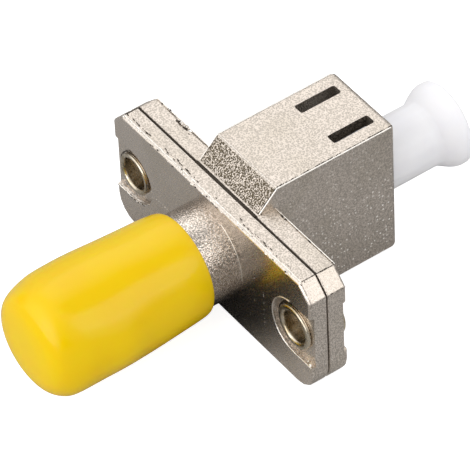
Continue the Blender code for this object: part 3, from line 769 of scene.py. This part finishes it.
@dataclass(frozen=True)
class Growth(ABC):
    """Something small that grows along a line on a casting. Its own sizes are in millimetres."""

    name: str
    path: Sequence[Vector]
    skin: CastSkin

    @abstractmethod
    def inputs(self) -> dict[str, object]:
        """Values for its tree's inputs, in metres."""

    def grow(self, tree: GeometryTree, material: Material) -> Object:
        """Grow it as a piece of its own.

        Args:
            tree: The tree for this kind of growth.
            material: Its finish.

        Returns:
            The piece.
        """
        line = bpy.data.meshes.new(f"{self.name}_line")
        line.from_pydata([tuple(p) for p in self.path], [(i, i + 1) for i in range(len(self.path) - 1)], [])
        made = tree.grow(add_piece(line.name, line), {**self.inputs(), "Material": material})
        made.shade_smooth()
        self.skin.value.paint(made)
        return add_piece(self.name, made)


@dataclass(frozen=True)
class Crumbs(Growth):
    """Small lumps or dashes, strewn along a line."""

    step: float
    across: float
    along: float
    wander: float
    gaps: float
    seed: int

    def inputs(self) -> dict[str, object]:
        """Values for its tree's inputs, in metres.

        Returns:
            Input name to value.
        """
        across, wander = self.across * MM, self.wander * MM
        return {
            "Step": self.step * MM,
            "Shape": (across, across, self.along * MM),
            "Wander": (wander, wander, wander),
            "Gaps": self.gaps,
            "Seed": self.seed,
        }


@dataclass(frozen=True)
class Ridge(Growth):
    """A thin ridge of flash that the die left along an edge, or a dark line of painted shade in a corner."""

    thickness: float
    wander: float
    unevenness: float
    lumps_per_metre: float = 2600.0
    step: float = 0.08
    seed: float = 0.0

    def inputs(self) -> dict[str, object]:
        """Values for its tree's inputs, in metres.

        Returns:
            Input name to value.
        """
        return {
            "Step": self.step * MM,
            "Thickness": self.thickness * MM,
            "Wander": self.wander * MM,
            "Unevenness": self.unevenness,
            "Lumps": self.lumps_per_metre,
            "Seed": self.seed,
        }


@dataclass
class Flange:
    """Sizes that both castings share. The last six are read from the frame."""

    front_plate: float = 1.35 * MM
    hole_height: float = 4.8 * MM
    axis_height: float = 5.0 * MM
    recess_radius: float = 2.25 * MM
    corner_chamfer: float = 1.15 * MM
    half_width: float = field(init=False)
    height: float = field(init=False)
    front_seam: float = field(init=False)
    front_face: float = field(init=False)
    hole_x: float = field(init=False)
    fold: float = field(init=False)

    def __post_init__(self) -> None:
        """Read the sizes that the frame gives."""
        _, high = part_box("st_housing")
        self.half_width, self.front_seam, self.height = high
        self.front_face = self.front_seam - self.front_plate
        self.fold = self.half_width - self.corner_chamfer
        low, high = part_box("eyelet_right")
        self.hole_x = (low.x + high.x) / 2

    def recess_line(self, side: Side, face: float) -> list[Vector]:
        """The edge of the recess round one hole, open at the flange's end.

        Args:
            side: The end of the flange.
            face: Y of the face that the recess is sunk in.

        Returns:
            Points along the edge.
        """
        end = self.half_width - 0.1 * MM - self.hole_x
        curve = arc((0.0, 0.0), self.recess_radius, 90, 270, 24)
        line = [(end, self.recess_radius), *curve, (end, -self.recess_radius)]
        return [Vector((side.value * (self.hole_x + x), face, self.hole_height + z)) for x, z in line]


@dataclass
class Casting(ABC):
    """One die-cast half: its skin, and what grows on it."""

    flange: Flange
    finish: Material
    node = ""

    @abstractmethod
    def kind_of(self, centre: Vector, normal: Vector) -> CastSkin:
        """The kind of cast skin on a face."""

    @abstractmethod
    def reshaped(self, point: Vector) -> Vector:
        """A point's place on the dressed casting."""

    @abstractmethod
    def ridges(self) -> list[Growth]:
        """The flash along its edges, and the painted shade in its corners."""

    @abstractmethod
    def crumbs(self) -> list[Growth]:
        """The small lumps and dashes on it."""

    def build(self, trees: dict[type, GeometryTree]) -> list[Object]:
        """Dress the casting, and grow what is on it.

        Args:
            trees: The tree for each kind of growth.

        Returns:
            The casting and what is on it.
        """
        mesh = merged_copy(self.node, self.reshaped)
        paint_skin(mesh, [self.kind_of(face.center, face.normal).value for face in mesh.polygons])
        body = add_piece(f"{self.node}_skin", mesh, self.finish)
        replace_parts(body, self.node)
        growths = (*self.ridges(), *self.crumbs())
        return [body, *(growth.grow(trees[type(growth)], self.finish) for growth in growths)]


@dataclass
class BayonetCasting(Casting):
    """The front casting: flange plate, barrel, lugs and keyway."""

    node = "st_housing"
    barrel_radius: float = 3.4 * MM
    foot_line_offset: float = 0.02 * MM
    foot_fillet: float = 0.35 * MM

    def kind_of(self, centre: Vector, normal: Vector) -> CastSkin:
        """The kind of cast skin on a face.

        Args:
            centre: The face's middle.
            normal: The way that it looks.

        Returns:
            Its kind.
        """
        flange = self.flange
        reach = math.hypot(centre.x, centre.z - flange.axis_height)
        if centre.y < flange.front_face - 0.32 * MM:
            return CastSkin.BARREL if reach > self.barrel_radius - 0.3 * MM else CastSkin.TOP
        if normal.y < -FACING:
            return CastSkin.FRONT
        if abs(normal.x) > LEANING and normal.z > LEANING:
            return CastSkin.FACET
        along_axis = abs(normal.y) < 0.1
        return CastSkin.EDGE if not along_axis and normal.z > 0.3 else CastSkin.TOP

    def reshaped(self, point: Vector) -> Vector:
        """A point's place once the fillet at the barrel's foot is drawn in to a thin line.

        Args:
            point: Its place on the frame's node.

        Returns:
            Its place on the dressed casting.
        """
        axis = self.flange.axis_height
        out = Vector((point.x, 0.0, point.z - axis))
        near_face = abs(point.y - self.flange.front_face) < self.foot_fillet
        if not near_face or not -0.05 * MM < out.length - self.barrel_radius < self.foot_fillet:
            return point
        out *= (self.barrel_radius + self.foot_line_offset) / out.length
        return Vector((out.x, point.y, axis + out.z))

    def ridges(self) -> list[Growth]:
        """The flash on the upper front edge and round the recesses, a bright line of painted
        highlight at the barrel's foot, and painted shade round the eyelets' heads and at the corners.

        Returns:
            The ridges.
        """
        flange, flash, grime = self.flange, CastSkin.FLASH, CastSkin.GRIME
        face, fold, height = flange.front_face, flange.fold, flange.height
        edge = [Vector((x, face + 0.22 * MM, height - 0.02 * MM)) for x in (-fold, fold)]
        ring = arc((0.0, flange.axis_height), self.barrel_radius + self.foot_line_offset, -5, 68, 40)
        foot = [Vector((x, face - 0.01 * MM, z)) for x, z in ring]
        # Name, line and skin, then thickness, wander, unevenness, lumps to the metre, and step
        made = [
            Ridge("front_edge_flash", edge, flash, 0.045, 0.12, 2.4, 2200.0, 0.07),
            # The line at the barrel's foot is a thin bright ridge, a painted highlight.
            Ridge("barrel_foot_line", foot, flash, 0.02, 0.01, 1.5, 900.0),
        ]
        for side in Side:
            end, seen = side.name.lower(), side is Side.RIGHT
            line = flange.recess_line(side, face)
            line = line[2:] if seen else line[len(line) * 2 // 3 :]
            # A dark ring of painted shade in the gap round each eyelet's head.
            hole = (side.value * flange.hole_x, flange.hole_height)
            head = arc(hole, 1.8 * MM if seen else 1.66 * MM, 80, 290, 40)
            gap = [Vector((x, face + 0.22 * MM, z)) for x, z in head]
            made.append(Ridge(f"front_recess_edge_{end}", line, flash, 0.045, 0.05, 1.6))
            made.append(Ridge(f"recess_grime_{end}", gap, grime, 0.05 if seen else 0.032, 0.04, 0.8))
        # Dark lines of painted shade where the top meets the corner chamfers.
        for side in Side:
            corner = [Vector((side.value * fold, face + y * MM, height)) for y in (0.25, 1.3)]
            made.append(Ridge(f"corner_line_{side.name.lower()}", corner, grime, 0.022, 0.02, 0.8))
        return made

    def crumbs(self) -> list[Growth]:
        """Dots and dashes of painted shade along the upper front edge and in the left recess, lumps
        along the edge, witness marks of the die, and crumbs by the recesses.

        Returns:
            The crumbs.
        """
        flange, flash, grime = self.flange, CastSkin.FLASH, CastSkin.GRIME
        face, fold, height = flange.front_face, flange.fold, flange.hole_height
        bead = [Vector((x, face + 0.42 * MM, flange.height)) for x in (-fold, fold)]
        lip = [Vector((x, face + 0.10 * MM, flange.height - 0.10 * MM)) for x in (-fold, fold)]
        joint = [Vector((5.8 * MM, face, height + z * MM)) for z in (0.7, -3.3)]
        score = [Vector((x * MM, face, height - 0.14 * MM)) for x in (-6.5, -4.8)]
        foot = [Vector((x * MM, face + 0.1 * MM, height + z * MM)) for x, z in ((10.4, -1.95), (10.85, -2.1))]
        stray = [Vector((x * MM, face, height + z * MM)) for x, z in ((3.6, -0.4), (6.2, 2.0))]
        torn = flange.recess_line(Side.LEFT, face)[-9:]
        # The crumbs in the near-black skin are lumps of painted shade.
        # Name, line and skin, then step, size across and along, wander, share of gaps, and seed
        return [
            Crumbs("front_edge_pits", bead, grime, 0.24, 0.028, 0.11, 0.08, 0.35, 3),
            Crumbs("front_edge_lumps", lip, flash, 0.17, 0.045, 0.11, 0.11, 0.25, 12),
            Crumbs("front_edge_nicks", lip, grime, 0.30, 0.035, 0.08, 0.16, 0.35, 11),
            Crumbs("witness_marks_right", joint, flash, 0.2, 0.014, 0.04, 0.01, 0.3, 5),
            Crumbs("witness_marks_left", score, flash, 0.24, 0.016, 0.04, 0.01, 0.3, 8),
            Crumbs("recess_crumbs", foot, flash, 0.12, 0.06, 0.08, 0.09, 0.1, 9),
            Crumbs("stray_crumbs", stray, flash, 0.22, 0.016, 0.02, 0.5, 0.2, 15),
            Crumbs("recess_nicks", torn, grime, 0.16, 0.035, 0.11, 0.05, 0.2, 16),
        ]


@dataclass
class LatchingCasting(Casting):
    """The rear casting: flange plate and the box of the latching port."""

    node = "lc_housing"
    box_half_width: float = 3.3 * MM
    slope_length: float = 1.53 * MM
    slope_start: float = 0.22 * MM
    mouth_bevel: float = 0.32 * MM
    shell: float = 0.2 * MM
    floor: float = 0.4 * MM
    sunk: float = 0.03 * MM
    low: Vector = field(init=False)
    high: Vector = field(init=False)

    def __post_init__(self) -> None:
        """Read the casting's corners from the frame."""
        self.low, self.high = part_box(self.node)

    def kind_of(self, centre: Vector, normal: Vector) -> CastSkin:
        """The kind of cast skin on a face.

        Args:
            centre: The face's middle.
            normal: The way that it looks.

        Returns:
            Its kind.
        """
        if normal.y < -LEANING and normal.z > LEANING and centre.z > self.flange.height - 0.3 * MM:
            return CastSkin.SLOPE
        within = abs(centre.x) < self.box_half_width - self.shell
        within = within and self.floor < centre.z < self.high.z - self.shell
        if within and self.floor < centre.y < self.high.y - self.shell / 2:
            return CastSkin.CAVITY
        if abs(normal.x) > LEANING and normal.z > LEANING:
            return CastSkin.FACET
        on_side = abs(normal.x) > FACING and abs(centre.x) < self.box_half_width + 0.1 * MM
        return CastSkin.SIDE if on_side else CastSkin.TOP

    def reshaped(self, point: Vector) -> Vector:
        """A point's place once the box's top makes room for the flash on it."""
        on_top = point.z > self.high.z - 0.1 * MM
        return Vector((point.x, point.y, point.z - self.sunk)) if on_top else point

    def edge(self, side: Side, inset: float, drop: float) -> list[Vector]:
        """A line along the slope's edge and the box's upper edge.

        Args:
            side: The side of the box.
            inset: How far the line lies inside the box's side.
            drop: How far it lies under the box's top.

        Returns:
            The foot and the head of the slope, and the mouth.
        """
        x = side.value * (self.box_half_width - inset)
        foot = self.low.y + self.slope_start
        top = self.high.z - self.sunk - drop
        return [
            Vector((x, foot + 0.05 * MM, self.flange.height + 0.05 * MM - drop)),
            Vector((x, foot + self.slope_length, top)),
            Vector((x, self.high.y - self.mouth_bevel, top)),
        ]

    def ridges(self) -> list[Growth]:
        """The flash on the box's upper edges, the slope's head and the plate's rear edge, and painted
        shade in the seam and at the slope's foot.

        Returns:
            The ridges.
        """
        flash, grime, fold, height = CastSkin.FLASH, CastSkin.GRIME, self.flange.fold, self.flange.height
        # Name, line and skin, then thickness, wander, unevenness and lumps to the metre
        made = []
        for side in Side:
            thick = 0.055 if side is Side.RIGHT else 0.03
            path = self.edge(side, 0.03 * MM, thick * MM - 0.02 * MM)
            made.append(Ridge(f"box_edge_{side.name.lower()}", path, flash, thick, 0.02, 0.5, 1200.0))
        head = [self.edge(side, 0.05 * MM, 0.015 * MM)[1] for side in Side]
        made.append(Ridge("slope_head", head, flash, 0.02, 0.02, 0.6, 1500.0))
        for side in Side:
            ends = (self.box_half_width + 0.1 * MM, fold)
            path = [Vector((side.value * x, -0.03 * MM, height - 0.03 * MM)) for x in ends]
            made.append(Ridge(f"plate_edge_{side.name.lower()}", path, flash, 0.045, 0.03, 0.8, 1600.0))
        # Dark lines of painted shade in the seam between the castings and at the slope's foot.
        for name, reach, thick, drop in (
            ("seam_grime", fold, 0.06, 0.03),
            ("slope_foot_grime", self.box_half_width, 0.14, 0.05),
        ):
            path = [Vector((x, self.low.y - 0.03 * MM, height - drop * MM)) for x in (-reach, reach)]
            made.append(Ridge(name, path, grime, thick, 0.02, 0.3, 1500.0))
        return made

    def crumbs(self) -> list[Growth]:
        """Dashes of painted shade by the box's right edges, the plate's rear edge and its corner, and
        the torn metal round the gate's scar, with painted shade in it.

        Returns:
            The crumbs.
        """
        flash, crumb, grime = CastSkin.FLASH, CastSkin.CRUMB, CastSkin.GRIME
        fold, height, end = self.flange.fold, self.flange.height, self.flange.half_width
        upper = self.edge(Side.RIGHT, 0.13 * MM, 0.03 * MM)
        rim = [Vector((x * MM, -0.1 * MM, height)) for x in (3.8, 9.7)]
        scar = [Vector((x * MM, -0.13 * MM, height - 0.1 * MM)) for x in (-7.4, -5.8)]
        torn = [Vector((x * MM, -0.32 * MM, height)) for x in (-7.5, -5.6)]
        nicks = [Vector((x * MM, -0.06 * MM, height - 0.02 * MM)) for x in (-9.2, -7.5)]
        corner = [Vector((fold, y * MM, height)) for y in (-1.4, -0.1)]
        heel = [Vector((end, y * MM, height - self.flange.corner_chamfer)) for y in (-1.4, -0.1)]
        lowest = [Vector((self.high.x - 0.045 * MM, -0.36 * MM, z * MM)) for z in (2.5, 3.1)]
        # The crumbs in the near-black skin are lumps of painted shade.
        # Name, line and skin, then step, size across and along, wander, share of gaps, and seed
        return [
            Crumbs("box_edge_grime", upper, grime, 0.24, 0.032, 0.14, 0.01, 0.18, 2),
            Crumbs("plate_edge_grime", rim, grime, 0.4, 0.03, 0.13, 0.03, 0.35, 6),
            Crumbs("gate_scar_lumps", scar, crumb, 0.15, 0.12, 0.13, 0.07, 0.1, 14),
            Crumbs("gate_scar_grime", torn, grime, 0.12, 0.05, 0.09, 0.09, 0.25, 4),
            Crumbs("plate_edge_nicks", nicks, grime, 0.2, 0.04, 0.08, 0.04, 0.35, 7),
            Crumbs("corner_grime", corner, grime, 0.2, 0.025, 0.12, 0.02, 0.15, 10),
            Crumbs("corner_heel_grime", heel, grime, 0.2, 0.02, 0.12, 0.015, 0.2, 17),
            Crumbs("end_crumbs", lowest, flash, 0.1, 0.025, 0.03, 0.012, 0.2, 13),
        ]


@dataclass
class ClenchedEyelet:
    """One eyelet: a domed head in front, a tube, and a rim rolled over behind."""

    side: Side
    finish: Material
    left_head: float = 1.55 * MM
    right_head: float = 1.68 * MM
    bore: float = 1.2 * MM
    wall: float = 0.22 * MM
    crown: float = 0.3 * MM
    unevenness: float = 0.08
    steps: int = 72

    def build(self) -> Object:
        """Make the eyelet, in the frame's place.

        Returns:
            The eyelet.
        """
        node = f"eyelet_{self.side.name.lower()}"
        low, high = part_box(node)
        head = self.left_head if self.side is Side.LEFT else self.right_head
        roll, half, outer = (high.x - low.x) / 2, self.crown / 2, self.bore + self.wall
        back, front = high.y, low.y
        profile = arc((roll - half, back - half), half, 90, -90, 8)
        profile += [(outer, back - self.crown), (outer, front + self.crown)]
        profile += arc((head - half, front + half), half, 90, -90, 8)
        profile += arc((outer, front + self.wall), self.wall, -90, -180, 6)
        profile += arc((outer, back - self.wall), self.wall, 180, 90, 6)
        centre = ((low.x + high.x) / 2, (low.z + high.z) / 2)
        mesh = turned_mesh(node, profile, centre, self.steps, self.uneven)
        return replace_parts(add_piece(f"{node}_rolled", mesh, self.finish), node)

    def uneven(self, radius: float, y: float, angle: float) -> float:
        """Radius of a point on the slightly oval, rolled metal."""
        spread = max(0.0, radius - self.bore - self.wall)
        return radius + self.unevenness * spread * math.sin(3 * angle + self.side.value)


@dataclass
class VinylCap:
    """Dipped vinyl cap on the barrel, with its skin stretched over the lugs.

    The taper and the shoulder are given as millimetres of radius and behind the mouth, and
    the domes as millimetres of radius and before the blind end.
    """

    finish: Material
    taper: tuple[Band, ...] = ((3.83, 0.45), (3.93, 1.4), (4.02, 2.9), (4.12, 4.7), (4.19, 6.4), (4.22, 8.4))
    shoulder: tuple[Band, ...] = ((4.21, 9.7), (4.13, 10.5), (3.92, 11.3), (3.48, 12.0))
    dome: tuple[Band, ...] = ((2.8, 0.25), (1.9, 0.07), (0.9, 0.01), (0.0, 0.0))
    inner_dome: tuple[Band, ...] = ((0.0, 0.0), (1.6, 0.0), (2.6, 0.25), (3.3, 0.9), (3.45, 1.6))
    inner_rings: tuple[float, ...] = (-2.4, -1.6, -1.0, -0.5, 0.0, 0.5, 1.0, 1.6, 2.4)
    axis_height: float = 5.0 * MM
    barrel_radius: float = 3.4 * MM
    bore: float = 3.45 * MM
    end_wall: float = 0.6 * MM
    mouth_radius: float = 3.72 * MM
    lug_reach: float = 3.98 * MM
    lug_half_width: float = 1.0 * MM
    lug_y: float = -12.53 * MM
    lug_zone: float = 2.2 * MM
    lug_fade_along: float = 1.2 * MM
    lug_fade_round: float = 1.4 * MM
    lug_swell: float = 0.28 * MM
    lug_swell_length: float = 1.5 * MM
    lug_swell_width: float = 0.42
    shoulder_lump: float = 0.13 * MM
    shoulder_length: float = 1.0 * MM
    shoulder_y: float = -16.5 * MM
    ovality: float = 0.008
    waviness: float = 0.004
    waves_per_metre: float = 900.0
    steps: int = 128

    def profile(self) -> Profile:
        """Section of the cap: lip, slow taper, rounded blind end, then the inside.

        Returns:
            The section, as (radius, y).
        """
        low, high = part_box("st_dust_cap")
        mouth, end = high.y, low.y
        lip = [(self.mouth_radius - 0.16 * MM, mouth), (self.mouth_radius, mouth - 0.10 * MM)]
        side = [(radius * MM, mouth - behind * MM) for radius, behind in (*self.taper, *self.shoulder)]
        side += [(radius * MM, end + before * MM) for radius, before in self.dome]
        inner_end = end + self.end_wall
        inside = [(radius * MM, inner_end + before * MM) for radius, before in self.inner_dome]
        inside += [(self.bore, self.lug_y + shift * MM) for shift in self.inner_rings]
        inside += [(self.bore, mouth - 2.0 * MM), (self.bore, mouth - 0.12 * MM)]
        return [*smooth_line([*lip, *side]), *inside, (self.mouth_radius - 0.2 * MM, mouth)]

    def stretched(self, radius: float, y: float, angle: float) -> float:
        """Radius of a point of the cap, a little out of round and pulled out over the lugs.

        Args:
            radius: The radius in the section.
            y: The point's place along the cap.
            angle: Its place round the cap, from +X.

        Returns:
            The real radius.
        """
        from_lug = abs(y - self.lug_y)
        if radius < self.barrel_radius + 0.1 * MM and from_lug < self.lug_zone:
            across = radius * abs(math.sin(angle))
            pull = max(0.0, 1.0 - max(0.0, from_lug - self.lug_half_width) / self.lug_fade_along)
            spread = max(0.0, 1.0 - max(0.0, across - self.lug_half_width) / self.lug_fade_round)
            return radius + (self.lug_reach - radius) * pull * spread
        along = (y - self.lug_y) / self.lug_swell_length
        over_lug = math.exp(-(along**2) - (math.sin(angle) / self.lug_swell_width) ** 2)
        uneven = self.ovality * math.sin(2 * angle - 0.6)
        uneven += self.waviness * math.sin(3 * angle + self.waves_per_metre * y)
        dent = math.exp(-(((y - self.shoulder_y) / self.shoulder_length) ** 2)) * math.sin(3 * angle - 2.1)
        return radius * (1.0 + uneven) + self.lug_swell * over_lug + self.shoulder_lump * dent

    def build(self) -> Object:
        """Make the cap, in the frame's place.

        Returns:
            The cap.
        """
        name, centre = "st_dust_cap_skin", (0.0, self.axis_height)
        mesh = turned_mesh(name, self.profile(), centre, self.steps, self.stretched)
        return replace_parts(add_piece(name, mesh, self.finish), "st_dust_cap")


@dataclass
class PortPlug:
    """Soft plug in the latching port.

    The dish and the flare are given as millimetres of radius, and millimetres above the
    dish's floor or behind the outer end.
    """

    finish: Material
    dish: tuple[Band, ...] = ((0.0, 0.0), (1.2, 0.02), (1.9, 0.1), (2.35, 0.34))
    flare: tuple[Band, ...] = ((3.07, 0.55), (3.0, 0.85), (2.84, 1.2), (2.6, 1.62), (2.42, 1.95))
    dish_depth: float = 0.5 * MM
    flare_length: float = 2.15 * MM
    end_wall: float = 1.4 * MM
    axis_height: float = 5.0 * MM
    shank: float = 2.345 * MM
    wall: float = 0.7 * MM
    rim: float = 3.07 * MM
    rim_rounding: float = 0.22 * MM
    flutes: int = 16
    flute_depth: float = 0.025 * MM
    steps: int = 128

    def profile(self) -> Profile:
        """Section of the plug: dished end, rim, flare, shank and bore.

        Returns:
            The section, as (radius, y).
        """
        low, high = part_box("lc_dust_plug")
        inner, outer = low.y, high.y
        start, floor, bore = outer - self.flare_length, outer - self.dish_depth, self.shank - self.wall
        face = [(radius * MM, floor + above * MM) for radius, above in self.dish]
        rim = arc((self.rim - self.rim_rounding, outer - self.rim_rounding), self.rim_rounding, 100, 0, 8)
        back = [(radius * MM, outer - behind * MM) for radius, behind in self.flare]
        back += [(self.shank, start - 0.15 * MM), (self.shank, start - 0.6 * MM)]
        shank = [(self.shank, inner + 0.35 * MM), (self.shank - 0.17 * MM, inner)]
        blind = floor - self.end_wall
        hollow = [(bore, inner), (bore, blind - 0.2 * MM), (bore - 0.2 * MM, blind), (0.0, blind)]
        return [*smooth_line(face), *rim, *smooth_line(back), *shank, *hollow]

    def fluted(self, radius: float, y: float, angle: float) -> float:
        """Radius of a point on the shank, which has shallow flutes along it."""
        on_shank = abs(radius - self.shank) < 0.1 * MM
        return radius - self.flute_depth * (1.0 - math.cos(self.flutes * angle)) / 2 if on_shank else radius

    def build(self) -> Object:
        """Make the plug, in the frame's place.

        Returns:
            The plug.
        """
        name, centre = "lc_dust_plug_skin", (0.0, self.axis_height)
        mesh = turned_mesh(name, self.profile(), centre, self.steps, self.fluted)
        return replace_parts(add_piece(name, mesh, self.finish), "lc_dust_plug")


@dataclass
class SleeveTrain:
    """The bushes, the retainer and the split sleeves on the fibre axis."""

    bush: Material
    ceramic: Material

    def dress(self) -> None:
        """Give each inner piece its finish."""
        for node in ("st_sleeve_bush", "lc_sleeve_bush", "sleeve_retainer"):
            self.coat(node, self.bush, Slot.BUSH)
        for node in ("st_split_sleeve", "lc_split_sleeve"):
            self.coat(node, self.ceramic, Slot.CERAMIC)

    @staticmethod
    def coat(node: str, material: Material, slot: Slot) -> None:
        """Put a finish on a frame node.

        Args:
            node: The node's name.
            material: The finish.
            slot: Not used.
        """
        piece = bpy.data.objects[node]
        for material_slot in piece.material_slots:
            material_slot.material = material


@dataclass(frozen=True)
class Card:
    """A soft patch of brightness or darkness in the light tent. Its angles are in degrees."""

    direction: Place
    reach: float
    softness: float
    strength: float

    def band(self) -> Band:
        """Cosines of the angles between which it fades in."""
        edges = (self.reach + self.softness, max(0.0, self.reach - self.softness))
        return tuple(math.cos(math.radians(edge)) for edge in edges)


@dataclass
class LightTent:
    """Pale floor, and a tent of soft light with a few cards in it."""

    sky_band: Band = (-0.1, 0.7)
    sky_light: Band = (0.35, 1.08)
    floor_size: float = 2.0
    floor_drop: float = 0.02 * MM
    floor_colour: float = 0.62
    floor_roughness: float = 0.9
    floor_glow: float = 0.80
    bounce_centre: Place = (11.0 * MM, 6.0 * MM, 0.0)
    bounce_band: Band = (5.0 * MM, 14.0 * MM)
    bounce_glow: Band = (0.39, 0.03)
    shade_centre: Place = (0.0, -5.0 * MM, 0.0)
    shade_band: Band = (2.5 * MM, 8.4 * MM)
    mirrored_light: Band = (0.05, 0.52)
    cards: tuple[Card, ...] = (
        Card((-0.55, 0.395, 0.74), 18.0, 7.0, 0.78),
        Card((0.20, 0.395, 0.90), 14.0, 4.0, -0.75),
        Card((0.72, 0.40, 0.57), 17.0, 4.0, 1.25),
        Card((0.88, 0.36, 0.30), 13.0, 3.0, 0.60),
        Card((-0.92, -0.38, 0.10), 16.0, 8.0, -0.30),
        Card((0.92, -0.38, 0.05), 14.0, 6.0, -0.40),
        Card((0.70, -0.40, 0.59), 24.0, 9.0, -0.40),
        Card((0.30, -0.93, 0.15), 30.0, 10.0, 1.45),
        Card((-0.15, -0.95, 0.30), 35.0, 20.0, 0.90),
    )

    def build(self) -> None:
        """Make the floor and the world."""
        self.build_floor()
        self.build_world()

    def build_floor(self) -> None:
        """A wide floor that shows white and still keeps the object's shadow."""
        shell = bmesh.new()
        bmesh.ops.create_grid(shell, x_segments=1, y_segments=1, size=self.floor_size)
        mesh = bpy.data.meshes.new("floor")
        shell.to_mesh(mesh)
        shell.free()
        graph = MaterialGraph("floor")
        rays = graph.add("ShaderNodeLightPath").outputs
        mirrored = rays["Is Glossy Ray"]
        patch = graph.between(graph.distance(self.bounce_centre), self.bounce_band, self.bounce_glow)
        seen = graph.maths("MAXIMUM", rays["Is Camera Ray"], rays["Is Transmission Ray"])
        seen = graph.maths("MAXIMUM", seen, graph.times(mirrored, patch))
        open_floor = graph.between(graph.distance(self.shade_centre), self.shade_band, self.mirrored_light)
        shade = graph.rest(graph.times(mirrored, graph.rest(open_floor)))
        grey = dict.fromkeys(("Red", "Green", "Blue"), graph.times(shade, self.floor_colour))
        material = graph.dress(
            Base_Color=graph.add("ShaderNodeCombineColor", grey),
            Roughness=self.floor_roughness,
            Specular_IOR_Level=0.0,
            Emission_Color=WHITE,
            Emission_Strength=graph.times(seen, shade, self.floor_glow),
        )
        floor = add_piece("floor", mesh, material)
        floor.location.z = -self.floor_drop

    def build_world(self) -> None:
        """White to the camera, and to everything else a tent with cards in it."""
        world = bpy.data.worlds.new("light_tent")
        bpy.context.scene.world = world
        world.use_nodes = True
        graph = ShaderGraph(world.node_tree)
        where = graph.add("ShaderNodeTexCoord").outputs["Generated"]
        height = graph.add("ShaderNodeSeparateXYZ", {0: where}).outputs["Z"]
        light = graph.between(height, self.sky_band, self.sky_light)
        for card in self.cards:
            inputs = {0: where, 1: Vector(card.direction).normalized()}
            facing = graph.add("ShaderNodeVectorMath", inputs, operation="DOT_PRODUCT").outputs["Value"]
            patch = graph.between(facing, card.band(), (0.0, card.strength))
            light = graph.add("ShaderNodeMath", {0: light, 1: patch})
        direct = graph.add("ShaderNodeLightPath").outputs["Is Camera Ray"]
        background = world.node_tree.nodes["Background"]
        graph.feed(background.inputs["Color"], WHITE)
        white = graph.add("ShaderNodeMix", {"Factor": direct, "A": light, "B": 1.0})
        graph.feed(background.inputs["Strength"], white)


@dataclass(frozen=True)
class PhotoCamera:
    """The photograph's camera, solved from the flange, the box and the barrel."""

    azimuth: float = 56.024
    elevation: float = 45.019
    roll: float = -2.925
    distance: float = 329.766 * MM
    shift_right: float = 0.393 * MM
    shift_up: float = 0.379 * MM
    lens: float = 383.0
    clip: Band = (0.01, 20.0)
    target: Place = (0.0, -1.5 * MM, 4.8 * MM)

    def build(self) -> None:
        """Make the camera and use it."""
        azimuth, elevation, roll = (math.radians(a) for a in (self.azimuth, self.elevation, self.roll))
        level = Vector((math.cos(azimuth), math.sin(azimuth), 0.0))
        flat = math.cos(elevation)
        back = Vector((math.sin(azimuth) * flat, -math.cos(azimuth) * flat, math.sin(elevation)))
        upright = back.cross(level)
        right = math.cos(roll) * level + math.sin(roll) * upright
        up = math.cos(roll) * upright - math.sin(roll) * level
        place = Vector(self.target) + self.shift_right * right + self.shift_up * up + self.distance * back
        data = bpy.data.cameras.new("photo_camera")
        data.lens = self.lens
        data.clip_start, data.clip_end = self.clip
        camera = bpy.data.objects.new("photo_camera", data)
        bpy.context.scene.collection.objects.link(camera)
        camera.matrix_world = Matrix.Translation(place) @ Matrix((right, up, back)).transposed().to_4x4()
        bpy.context.scene.camera = camera


def carry(pieces: Sequence[Object], body: str) -> None:
    """Let pieces ride on a body.

    Args:
        pieces: The pieces.
        body: The body's name.
    """
    for piece in pieces:
        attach(piece, body)
        LOG.info("%s rides on %s: %d faces", piece.name, body, len(piece.data.polygons))


def main() -> None:
    """Build the looks round the frame."""
    logging.basicConfig(level=logging.INFO, format="%(message)s")
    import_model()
    casting = PlatedCastingFinish().build()
    brass = MetalFinish("eyelet_brass", (0.64, 0.57, 0.46), (0.40, 0.32, 0.20)).build()
    plated = MetalFinish("plated_brass", (0.70, 0.66, 0.58), (0.58, 0.50, 0.38)).build()
    trees = {Ridge: ridge_tree(), Crumbs: crumb_tree()}
    flange = Flange()
    for half in (BayonetCasting(flange, casting), LatchingCasting(flange, casting)):
        carry(half.build(trees), ADAPTER)
    for side in Side:
        carry([ClenchedEyelet(side, brass).build()], ADAPTER)
    carry([VinylCap(DippedVinylFinish().build()).build()], "cap")
    carry([PortPlug(SoftPlugFinish().build()).build()], "plug")
    SleeveTrain(plated, CeramicFinish().build()).dress()
    LightTent().build()
    PhotoCamera().build()
    bpy.context.scene.view_settings.view_transform = "Standard"


if __name__ == "__main__":
    main()
